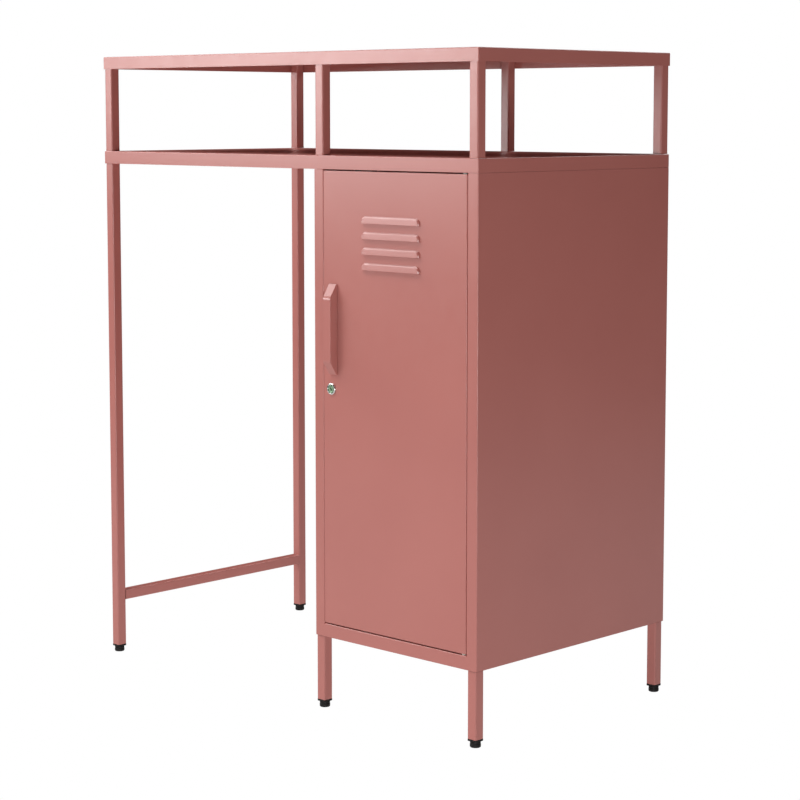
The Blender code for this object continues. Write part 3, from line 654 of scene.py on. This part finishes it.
def make_glide(column):
    """Levelling foot: a moulded base with a shallow waist and a rolled lower edge on a stud."""
    node = "glide_" + column
    low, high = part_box(node)
    middle = (low + high) / 2
    radius = (high.x - low.x) / 2
    tall = high.z - low.z
    tip = 0.6 * MM
    step = 0.2 * MM
    shoulder = radius - step
    waist = radius - 0.7 * MM
    profile = rounded(
        [(0.0, tall), (STUD_RADIUS - tip, tall), (STUD_RADIUS, tall - tip),
         (STUD_RADIUS, FOOT_BASE), (shoulder, FOOT_BASE), (shoulder, FOOT_WAIST_TOP + step),
         (waist, FOOT_WAIST_TOP - step), (waist, FOOT_WAIST_BOTTOM + step),
         (radius, FOOT_WAIST_BOTTOM - step), (radius, 0.0), (0.0, 0.0)],
        [0.0, 0.0, 0.0, 0.0, 0.8 * MM, step, step, step, step, 1.8 * MM, 0.0],
        steps=4)
    item = new_item(node + "_moulding", turned(profile, Vector((middle.x, middle.y, low.z))))
    show(item, node)


def make_rack_and_legs():
    for column in COLUMNS:
        make_post(column)
        make_post_bolt(column)
        make_leg(("leg_" if column.endswith("left") else "locker_leg_") + column)
        make_leg_plug(column)
        make_glide(column)
    make_leg("left_leg_stretcher", "Y")


# ---- Locker shell ----

STILE_RETURN = 16.0 * MM
REAR_RETURN = 15.0 * MM
TONGUE_INSET = 60.0 * MM
TONGUE_DEEP = 20.0 * MM
PIN_RADIUS = 1.8 * MM
FILL_HALF = 1.7 * MM
LOCKER_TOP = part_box("mid_shelf")[0].z - GAP
WING_OVERLAP = 4.0 * MM
CATCH_CORNER = 1.5 * MM
POLE_REACH = 0.2 * MM
POLE_FROM_SIDE = 4.2 * MM
POLE_HALF = 0.8 * MM
POLE_DEEP = 3.8 * MM
POLE_PLAY = 0.2 * MM


def make_side_panel(node, outer, opening, towards_middle):
    """Side sheet with the stile, its inner return and the rear return folded from it.

    A tongue at its top stands up inside the middle shelf.
    """
    low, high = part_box(node)
    rear = outer + towards_middle * REAR_RETURN
    path = rounded(
        [(opening, low.y + STILE_RETURN), (opening, low.y), (outer, low.y), (outer, high.y),
         (rear, high.y)], FOLD_RADIUS)
    item = new_item(
        node + "_sheet", folded_strip(path, -towards_middle, "Z", low.z, LOCKER_TOP))
    soften(item)
    near = low.y + TONGUE_INSET
    far = high.y - TONGUE_INSET
    start = outer + towards_middle * (0.0 if towards_middle > 0 else SHEET + GAP)
    side = sorted((start, start + towards_middle * SHEET))
    below = LOCKER_TOP - (MM if towards_middle > 0 else TONGUE_DEEP)
    combine(item, prism(rectangle((near, below), (far, high.z)), "X", *side), "UNION")
    show(item, node)


def make_bottom_panel():
    """Floor with its front apron, ground flush with the stiles, and wings that reach the sides."""
    low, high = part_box("bottom_panel")
    rail_low, rail_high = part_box("header_rail")
    tray_low = Vector((rail_low.x, low.y, low.z))
    tray_high = Vector((rail_high.x, high.y, high.z))
    item = new_item("bottom_panel_sheet", tray_skin(tray_low, tray_high, (0, 0, -1)))
    thicken(item)
    near = low.y + STILE_RETURN + 2 * GAP
    for start, end in ((low.x, tray_low.x + WING_OVERLAP), (tray_high.x - WING_OVERLAP, high.x)):
        wing = rectangle((start, near), (end, high.y - GAP))
        combine(item, prism(wing, "Z", high.z - SHEET, high.z), "UNION")
    for edge in (tray_low.x, tray_high.x):
        fill = rectangle((edge - FILL_HALF, low.z), (edge + FILL_HALF, high.z - FOLD_RADIUS))
        combine(item, prism(fill, "Y", low.y, low.y + SHEET), "UNION")
    pin = middle_of("lower_hinge_pin")
    hole = circle((pin.x, pin.y), PIN_RADIUS + GAP)
    combine(item, prism(hole, "Z", high.z - 2 * MM, high.z + MM))
    soften(item)
    show(item, "bottom_panel")


def make_header_rail():
    """Rail over the door, open at its top, with the hole for the upper hinge pin."""
    item = make_tray("header_rail", (0, 0, 1))
    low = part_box("header_rail")[0]
    pin = middle_of("upper_hinge_pin")
    hole = circle((pin.x, pin.y), PIN_RADIUS + GAP)
    combine(item, prism(hole, "Z", low.z - MM, low.z + 2 * MM))
    soften(item)
    show(item, "header_rail")


def make_locker_inside():
    """Back sheet, inner shelf and the two angles that carry it."""
    low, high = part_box("back_panel")
    outline = rectangle((low.x, low.z), (high.x, high.z))
    back = new_item(
        "back_panel_sheet", prism(rounded(outline, 2 * MM, closed=True), "Y", low.y, high.y))
    soften(back)
    show(back, "back_panel")
    shelf = make_tray("inner_shelf", (0, 0, -1))
    soften(shelf)
    show(shelf, "inner_shelf")
    for node, step in (("left_shelf_runner", 1), ("right_shelf_runner", -1)):
        low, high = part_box(node)
        wall, edge = (low.x, high.x) if step > 0 else (high.x, low.x)
        path = rounded([(wall, high.z), (wall, low.z), (edge, low.z)], FOLD_RADIUS)
        item = new_item(node + "_angle", folded_strip(path, step, "Y", low.y, high.y))
        soften(item)
        show(item, node)


def pole_outline(low, high, row, from_side, half):
    """A pole strip of the magnetic catch, or its slot, as seen from the front."""
    return rectangle((low.x + from_side, row - half), (high.x - from_side, row + half))


def make_magnetic_catch():
    """Moulded catch with two steel pole strips that stand just proud of its face."""
    low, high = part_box("magnetic_catch")
    body_front = low.y + POLE_REACH
    outline = rounded(rectangle((low.x, low.z), (high.x, high.z)), CATCH_CORNER, closed=True)
    edge = 0.6 * MM
    body = stepped(
        outline, "Y", [(edge, body_front), (0.0, body_front + edge), (0.0, high.y - edge),
                       (edge, high.y)])
    item = new_item("magnetic_catch_moulding", body)
    pole_rows = [low.z + (high.z - low.z) * share for share in (0.3, 0.7)]
    for row in pole_rows:
        slot = pole_outline(low, high, row, POLE_FROM_SIDE - POLE_PLAY, POLE_HALF + GAP / 2)
        combine(item, prism(slot, "Y", low.y - MM, body_front + POLE_DEEP + POLE_PLAY))
    show(item, "magnetic_catch")
    poles = merged([
        prism(
            pole_outline(low, high, row, POLE_FROM_SIDE, POLE_HALF), "Y", low.y,
            body_front + POLE_DEEP)
        for row in pole_rows])
    strips = new_item("magnetic_catch_poles", poles)
    soften(strips, 0.15 * MM)
    finish_surface(strips, LOOKS["zinc_plate"])
    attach(strips, "cabinet")


def make_shell():
    left_low, left_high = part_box("left_side_panel")
    right_low, right_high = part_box("right_side_panel")
    make_side_panel("left_side_panel", left_low.x, left_high.x, 1)
    make_side_panel("right_side_panel", right_high.x, right_low.x, -1)
    make_bottom_panel()
    make_header_rail()
    make_locker_inside()
    make_magnetic_catch()


# ---- Hinge ----

PIN_HEAD = 2.0 * MM
BUSH_RADIUS = 2.9 * MM
BUSH_FLANGE = 0.8 * MM


def make_hinge_pin(node, points_up):
    """Headed pin with a rounded tip."""
    low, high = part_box(node)
    middle = (low + high) / 2
    length = high.z - low.z
    head_radius = (high.x - low.x) / 2
    points = [
        (0.0, length), (PIN_RADIUS, length), (PIN_RADIUS, PIN_HEAD), (head_radius, PIN_HEAD),
        (head_radius, 0.0), (0.0, 0.0)]
    profile = rounded(points, [0.0, 0.9 * MM, 0.0, 0.3 * MM, 0.5 * MM, 0.0], steps=4)
    foot = Vector((middle.x, middle.y, low.z))
    if not points_up:
        profile = [(radius, length - height) for radius, height in reversed(profile)]
    item = new_item(node + "_turned", turned(profile, foot))
    show(item, node)


def make_hinge_bush(node, points_up):
    """Flanged nylon bush with softened rims."""
    low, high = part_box(node)
    middle = (low + high) / 2
    length = high.z - low.z
    bore = PIN_RADIUS + GAP
    flange_radius = (high.x - low.x) / 2
    points = [
        (bore, length), (BUSH_RADIUS, length), (BUSH_RADIUS, BUSH_FLANGE),
        (flange_radius, BUSH_FLANGE), (flange_radius, 0.0), (bore, 0.0)]
    rim = 0.2 * MM
    profile = rounded(points, [rim, rim, 0.0, rim, rim, rim], steps=3, closed=True)
    foot = Vector((middle.x, middle.y, low.z))
    if not points_up:
        profile = [(radius, length - height) for radius, height in reversed(profile)]
    item = new_item(node + "_turned", turned(profile, foot, closed=True))
    show(item, node)


def make_hinge():
    make_hinge_pin("lower_hinge_pin", True)
    make_hinge_pin("upper_hinge_pin", False)
    make_hinge_bush("lower_hinge_bush", True)
    make_hinge_bush("upper_hinge_bush", False)


# ---- Door ----

DOOR_LIP = 8.0 * MM
LOUVRE_COUNT = 4
LOUVRE_PITCH = 26.0 * MM
LOUVRE_TOP = 859.8 * MM
LOUVRE_FROM_DOOR_EDGE = 93.2 * MM
LOUVRE_WIDTH = 133.0 * MM
LOUVRE_HEIGHT = 11.5 * MM
LOUVRE_CORNER = 8.0 * MM
LOUVRE_ROOT = 0.7 * MM
LOUVRE_BEVEL = 2.2 * MM
LOUVRE_SOFT = 0.6 * MM
LOUVRE_TOP_SHARE = 0.86
HANDLE_SCREW_RADIUS = 2.5 * MM
BARREL_RADIUS = 8.0 * MM
RECESS_SHARE = 1.1
RECESS_DEEP = 1.3 * MM
DOOR_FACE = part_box("left_side_panel")[0].y


def hood_line(number, inset):
    """The line round a louvre hood, from its lower left end over the top to its lower right end."""
    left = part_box("door_panel")[0].x + LOUVRE_FROM_DOOR_EDGE
    right = left + LOUVRE_WIDTH - inset
    left += inset
    high = LOUVRE_TOP - number * LOUVRE_PITCH
    low = high - LOUVRE_HEIGHT
    corners = [(left, low), (left, high - inset), (right, high - inset), (right, low)]
    return rounded(corners, LOUVRE_CORNER - inset, steps=10)


def hood_section():
    """(inset, reach) points from the door's face up the hood's wall and over its bevel."""
    reach = DOOR_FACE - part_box("door_panel")[0].y
    points = [
        (-2 * LOUVRE_ROOT, 0.0), (0.0, 0.0), (0.0, reach - LOUVRE_BEVEL), (LOUVRE_BEVEL, reach),
        (2 * LOUVRE_BEVEL, reach)]
    return rounded(points, [0.0, LOUVRE_ROOT, LOUVRE_SOFT, LOUVRE_SOFT, 0.0], steps=3)


def add_hood(shape, number):
    """One louvre hood, which stands out further at its lower edge.

    Returns the closed line of edges that it leaves open in the door's face.
    """
    high = LOUVRE_TOP - number * LOUVRE_PITCH
    rows = []
    for inset, reach in hood_section():
        row = []
        for point in hood_line(number, inset):
            share = LOUVRE_TOP_SHARE + (1 - LOUVRE_TOP_SHARE) * (high - point.y) / LOUVRE_HEIGHT
            row.append(shape.verts.new((point.x, DOOR_FACE - reach * share, point.y)))
        rows.append(row)
    skin(shape, rows, closed=False)
    shape.faces.new(rows[-1])
    root = rows[0]
    rim = [shape.edges.get(pair) for pair in zip(root, root[1:])]
    return rim + [shape.edges.new((root[-1], root[0]))]


def add_ring(shape, line):
    """A closed line of edges in the door's face."""
    ring = [shape.verts.new((point[0], DOOR_FACE, point[1])) for point in line]
    return [shape.edges.new((ring[i - 1], ring[i])) for i in range(len(ring))]


def make_door_panel():
    """Door pan with returns and lips; its face has the louvres, lock hole and screw holes."""
    low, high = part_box("door_panel")
    low.y = DOOR_FACE
    shape = tray_skin(low, high, (0, 1, 0), DOOR_LIP)
    shape.normal_update()
    face = max((f for f in shape.faces if f.normal.y < -0.9), key=lambda f: f.calc_area())
    edges = list(face.edges)
    bmesh.ops.delete(shape, geom=[face], context="FACES_ONLY")
    for number in range(LOUVRE_COUNT):
        edges += add_hood(shape, number)
    lock = middle_of("lock_barrel")
    edges += add_ring(shape, circle((lock.x, lock.z), BARREL_RADIUS + GAP))
    for label in ("upper", "lower"):
        screw = middle_of("handle_screw_" + label)
        edges += add_ring(shape, circle((screw.x, screw.z), HANDLE_SCREW_RADIUS + GAP, steps=24))
    bmesh.ops.triangle_fill(shape, use_beauty=True, edges=edges, normal=(0.0, -1.0, 0.0))
    bmesh.ops.recalc_face_normals(shape, faces=shape.faces)
    item = new_item("door_panel_sheet", shape)
    thicken(item)
    for label in ("lower", "upper"):
        bush = middle_of(label + "_hinge_bush")
        edge = low.z if label == "lower" else high.z
        hole = circle((bush.x, bush.y), BUSH_RADIUS + GAP)
        combine(item, prism(hole, "Z", edge - 1.5 * MM, edge + 1.5 * MM))
    soften(item)
    show(item, "door_panel")


def make_door_stiffener():
    """Channel down the door's back, open towards its face."""
    low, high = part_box("door_stiffener")
    path = rounded(
        [(low.x, low.y), (low.x, high.y), (high.x, high.y), (high.x, low.y)], FOLD_RADIUS)
    item = new_item("door_stiffener_channel", folded_strip(path, -1, "Z", low.z, high.z))
    soften(item)
    show(item, "door_stiffener")


HANDLE_WALL = 3.0 * MM
HANDLE_RAMP = 23.0 * MM
HANDLE_BLOCK = 18.0 * MM
HANDLE_BEND = 15.0 * MM
HANDLE_INNER_BEND = 3.0 * MM
HANDLE_TIP = 2.2 * MM
HANDLE_EDGE = 0.7 * MM
SCREW_HOLE_DEEP = 5.3 * MM


def make_handle():
    """Hollow pull with eased bends: walls at its front and right, open to the left for fingers."""
    low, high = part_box("door_handle")
    reach = DOOR_FACE - low.y
    back = low.y + HANDLE_WALL
    throat = HANDLE_RAMP / reach * (high.y - back)
    tip = high.y - HANDLE_TIP
    outline = rounded(
        [(high.y, low.z), (tip, low.z), (low.y, low.z + HANDLE_RAMP),
         (low.y, high.z - HANDLE_RAMP), (tip, high.z), (high.y, high.z)],
        [0.0, HANDLE_TIP, HANDLE_BEND, HANDLE_BEND, HANDLE_TIP, 0.0], closed=True, steps=6)
    item = new_item("door_handle_pull", prism(outline, "X", low.x, high.x))
    soften(item, HANDLE_EDGE, steps=4, angle=60.0)
    near = low.z + HANDLE_BLOCK
    far = high.z - HANDLE_BLOCK
    hollow = rounded(
        [(high.y + MM, near), (high.y, near), (back, near + throat), (back, far - throat),
         (high.y, far), (high.y + MM, far)],
        [0.0, 0.0, HANDLE_INNER_BEND, HANDLE_INNER_BEND, 0.0, 0.0], closed=True, steps=6)
    combine(item, prism(hollow, "X", low.x - MM, high.x - HANDLE_WALL))
    for label in ("upper", "lower"):
        screw = middle_of("handle_screw_" + label)
        hole = circle((screw.x, screw.z), HANDLE_SCREW_RADIUS + GAP, steps=24)
        combine(item, prism(hole, "Y", high.y - SCREW_HOLE_DEEP, high.y + MM))
    show(item, "door_handle")


def cross_recess(place, width):
    """Two cutters that make a cross recess in a head that faces the back."""
    x, y, z = place
    half = width / 2
    arm = width / 8
    upright = rectangle((x - arm, z - half), (x + arm, z + half))
    level = rectangle((x - half, z - arm), (x + half, z + arm))
    return [prism(bar, "Y", y - RECESS_DEEP, y + MM) for bar in (upright, level)]


def make_pan_screw(node, shank_radius, head):
    """Screw with a domed head and a cross recess that face the door's back."""
    low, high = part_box(node)
    middle = (low + high) / 2
    head_radius = (high.x - low.x) / 2
    length = high.y - low.y
    points = [
        (0.0, length), (shank_radius, length), (shank_radius, head), (head_radius, head),
        (head_radius, 0.8 * MM), (head_radius * 0.6, 0.0), (0.0, 0.0)]
    profile = rounded(
        points, [0.0, 0.4 * MM, 0.0, 0.2 * MM, 0.7 * MM, 1.2 * MM, 0.0], steps=4)
    foot = Vector((middle.x, high.y, middle.z))
    item = new_item(node + "_turned", turned(profile, foot, faces_front=True))
    for cutter in cross_recess(foot, head_radius * RECESS_SHARE):
        combine(item, cutter)
    show(item, node)


# ---- Cam lock ----

BEZEL_REACH = 2.4 * MM
PLUG_FACE_RADIUS = 6.8 * MM
PLUG_STEM_RADIUS = 4.6 * MM
PLUG_SEAT = 1.6 * MM
KEYWAY_LENGTH = 8.0 * MM
KEYWAY_WIDTH = 1.9 * MM
KEYWAY_DEEP = 7.0 * MM
KEYWAY_SLANT = 45.0
WARD_RADIUS = 1.5 * MM
CAM_STUB = 3.0 * MM


def make_lock_barrel():
    """Barrel with a rounded bezel, bored for the plug's face and its stem."""
    low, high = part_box("lock_barrel")
    middle = (low + high) / 2
    bezel = (high.x - low.x) / 2
    rear = DOOR_FACE - high.y
    mouth = PLUG_FACE_RADIUS + GAP
    bore = PLUG_STEM_RADIUS + GAP
    points = [
        (mouth, BEZEL_REACH), (bezel, BEZEL_REACH), (bezel, GAP), (BARREL_RADIUS, GAP),
        (BARREL_RADIUS, rear), (bore, rear), (bore, -PLUG_SEAT), (mouth, -PLUG_SEAT)]
    small = 0.3 * MM
    profile = rounded(
        points, [small, 1.4 * MM, 0.2 * MM, 0.0, 0.5 * MM, small, 0.0, 0.0], steps=6, closed=True)
    place = Vector((middle.x, DOOR_FACE, middle.z))
    item = new_item("lock_barrel_turned", turned(profile, place, faces_front=True, closed=True))
    show(item, "lock_barrel")


def make_lock_plug():
    """Key plug: a slightly dished face with a slanting keyway and its ward, on a stepped stem."""
    low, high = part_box("lock_plug")
    middle = (low + high) / 2
    face = DOOR_FACE - low.y
    rear = DOOR_FACE - high.y
    shoulder = rear + 1.7 * MM
    points = [
        (0.0, face - 0.35 * MM), (PLUG_FACE_RADIUS * 0.72, face - 0.2 * MM),
        (PLUG_FACE_RADIUS * 0.82, face), (PLUG_FACE_RADIUS, face),
        (PLUG_FACE_RADIUS, GAP - PLUG_SEAT), (PLUG_STEM_RADIUS, GAP - PLUG_SEAT),
        (PLUG_STEM_RADIUS, shoulder), (CAM_STUB, shoulder), (CAM_STUB, rear), (0.0, rear)]
    profile = rounded(
        points, [0.0, 0.3 * MM, 0.2 * MM, 0.4 * MM, 0.0, 0.0, 0.2 * MM, 0.0, 0.2 * MM, 0.0], steps=4)
    place = Vector((middle.x, DOOR_FACE, middle.z))
    item = new_item("lock_plug_turned", turned(profile, place, faces_front=True))
    half = KEYWAY_LENGTH / 2
    slot = rounded(
        rectangle((-half, -KEYWAY_WIDTH / 2), (half, KEYWAY_WIDTH / 2)), KEYWAY_WIDTH / 2.2,
        closed=True)
    cutter = prism(slot, "Y", -face - MM, KEYWAY_DEEP)
    ward = prism(circle((0.0, 0.0), WARD_RADIUS, steps=24), "Y", -face - MM, KEYWAY_DEEP)
    slant = Matrix.Rotation(math.radians(KEYWAY_SLANT), 4, "Y")
    for shape in (cutter, ward):
        bmesh.ops.transform(shape, matrix=Matrix.Translation(place) @ slant, verts=shape.verts)
        combine(item, shape)
    show(item, "lock_plug")


def make_lock_nut():
    """Hexagon nut that holds the barrel from behind."""
    low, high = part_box("lock_nut")
    middle = (low + high) / 2
    hexagon = circle((middle.x, middle.z), (high.z - low.z) / 2, steps=6)
    turned_by = Matrix.Rotation(math.pi / 6, 2)
    centre = Vector((middle.x, middle.z))
    outline = [centre + turned_by @ (point - centre) for point in hexagon]
    edge = 0.4 * MM
    item = new_item("lock_nut_hexagon", stepped(outline, "Y", [
        (edge, low.y), (0.0, low.y + edge), (0.0, high.y - edge), (edge, high.y)]))
    hole = circle((middle.x, middle.z), BARREL_RADIUS + GAP)
    combine(item, prism(hole, "Y", low.y - MM, high.y + MM))
    soften(item, 0.15 * MM)
    show(item, "lock_nut")


def make_lock_cam():
    """Flat steel cam: a round eye over the plug's stub and a finger that hangs at rest."""
    low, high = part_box("lock_cam")
    eye = middle_of("lock_barrel")
    half = (high.x - low.x) / 2
    outline = rounded(
        [(low.x, low.z), (high.x, low.z), (high.x, high.z), (low.x, high.z)],
        [2.0 * MM, 2.0 * MM, half * 0.98, half * 0.98], steps=12, closed=True)
    item = new_item("lock_cam_plate", prism(outline, "Y", low.y, high.y))
    hole = circle((eye.x, eye.z), CAM_STUB + GAP, steps=32)
    combine(item, prism(hole, "Y", low.y - MM, high.y + MM))
    soften(item, 0.25 * MM)
    show(item, "lock_cam")


def make_door():
    make_door_panel()
    make_door_stiffener()
    make_handle()
    for label in ("upper", "lower"):
        make_pan_screw("handle_screw_" + label, HANDLE_SCREW_RADIUS, 2.2 * MM)
    make_lock_barrel()
    make_lock_plug()
    make_lock_nut()
    make_lock_cam()
    make_pan_screw("cam_screw", 1.5 * MM, 2.4 * MM)


# ---- Studio ----

def aimed(item, place, target):
    """Put a light at a place, shining at a target."""
    item.location = place
    item.rotation_euler = (Vector(target) - Vector(place)).to_track_quat("-Z", "Y").to_euler()


def area_light(name, place, target, width, height, power):
    """Soft box of width by height metres; its power is in watts."""
    lamp = bpy.data.lights.new(name, "AREA")
    lamp.shape = "RECTANGLE"
    lamp.size = width
    lamp.size_y = height
    lamp.energy = power
    item = bpy.data.objects.new(name, lamp)
    bpy.context.scene.collection.objects.link(item)
    aimed(item, place, target)


FLOOR_RADIUS = 3.5
FLOOR_BELOW = 12.5 * MM
FLOOR_GLOW = 0.46


def make_floor():
    """A pale floor that the camera sees as plain white, as on a cut-out product picture.

    It lies just below the lowest place of the feet, so that they don't sink into it at their limit.
    """
    shape = bmesh.new()
    bmesh.ops.create_circle(shape, cap_ends=True, segments=96, radius=FLOOR_RADIUS)
    floor = new_item("studio_floor", shape)
    floor.location.z = -FLOOR_BELOW
    look, tree, shader = new_look("pale_studio_floor", 0.9)
    place = object_place(tree)
    clouds = noise(tree, place, 1.5, detail=2.0)
    tones(tree, clouds, [(0.30, 0.30, 0.30), (0.31, 0.31, 0.31)], shader.inputs["Base Color"])
    shader.inputs["Specular IOR Level"].default_value = 0.0
    shader.inputs["Emission Color"].default_value = (1.0, 1.0, 1.0, 1.0)
    shader.inputs["Emission Strength"].default_value = FLOOR_GLOW
    white = tree.nodes.new("ShaderNodeEmission")
    seen_white(tree, shader.outputs[0], white.outputs[0], tree.nodes["Material Output"])
    floor.data.materials.append(look)


def seen_white(tree, lighting, white, output):
    """Show the camera plain white, while all other rays meet the lighting shader."""
    ray = tree.nodes.new("ShaderNodeLightPath")
    choice = tree.nodes.new("ShaderNodeMixShader")
    tree.links.new(ray.outputs["Is Camera Ray"], choice.inputs[0])
    tree.links.new(lighting, choice.inputs[1])
    tree.links.new(white, choice.inputs[2])
    tree.links.new(choice.outputs[0], output.inputs["Surface"])


def make_world():
    """White behind the object, and no light from the sky."""
    world = bpy.data.worlds.new("studio")
    bpy.context.scene.world = world
    world.use_nodes = True
    tree = world.node_tree
    sky = tree.nodes["Background"]
    sky.inputs["Color"].default_value = (0.0, 0.0, 0.0, 1.0)
    backdrop = tree.nodes.new("ShaderNodeBackground")
    backdrop.inputs["Color"].default_value = (1.0, 1.0, 1.0, 1.0)
    seen_white(tree, sky.outputs[0], backdrop.outputs[0], tree.nodes["World Output"])


# Name, place, target, width, height and power of each soft box.
LAMPS = (
    ("gloss", (-2.35, -2.75, 1.35), (0.0, -0.2, 1.0), 1.7, 0.7, 42.0),
    ("left", (-3.2, -0.9, 3.6), (0.1, -0.2, 0.7), 2.4, 2.4, 120.0),
    ("overhead", (-0.9, -1.9, 3.9), (0.0, 0.0, 0.9), 1.4, 1.4, 60.0),
    ("corner", (2.7, -2.75, 0.35), (0.3, -0.2, 0.6), 1.2, 0.7, 55.0),
    ("right", (3.6, 0.6, 1.6), (0.0, 0.0, 0.6), 1.6, 1.6, 5.0),
    ("rear", (0.9, 2.6, 3.2), (0.0, 0.0, 0.8), 1.8, 1.8, 45.0),
)


def make_lights():
    for lamp in LAMPS:
        area_light(*lamp)


CAMERA_PLACE = (2.7731, -2.8113, 1.0339)
CAMERA_AZIMUTH = 43.90
CAMERA_TILT = 5.90
CAMERA_LENS = 97.62
CAMERA_SENSOR = 36.0
CAMERA_SHIFT = -0.08


def make_camera():
    """Camera at the photograph's viewing angle; a small shift puts the object in the frame."""
    camera = bpy.data.cameras.new("camera")
    camera.lens = CAMERA_LENS
    camera.sensor_width = CAMERA_SENSOR
    camera.shift_y = CAMERA_SHIFT
    item = bpy.data.objects.new("camera", camera)
    bpy.context.scene.collection.objects.link(item)
    item.location = CAMERA_PLACE
    item.rotation_euler = (math.radians(90.0 - CAMERA_TILT), 0.0, math.radians(CAMERA_AZIMUTH))
    bpy.context.scene.camera = item


# ---- Assembly ----

make_trays()
make_rack_and_legs()
make_shell()
make_hinge()
make_door()
make_floor()
make_world()
make_lights()
make_camera()
bpy.context.scene.view_settings.view_transform = "Standard"
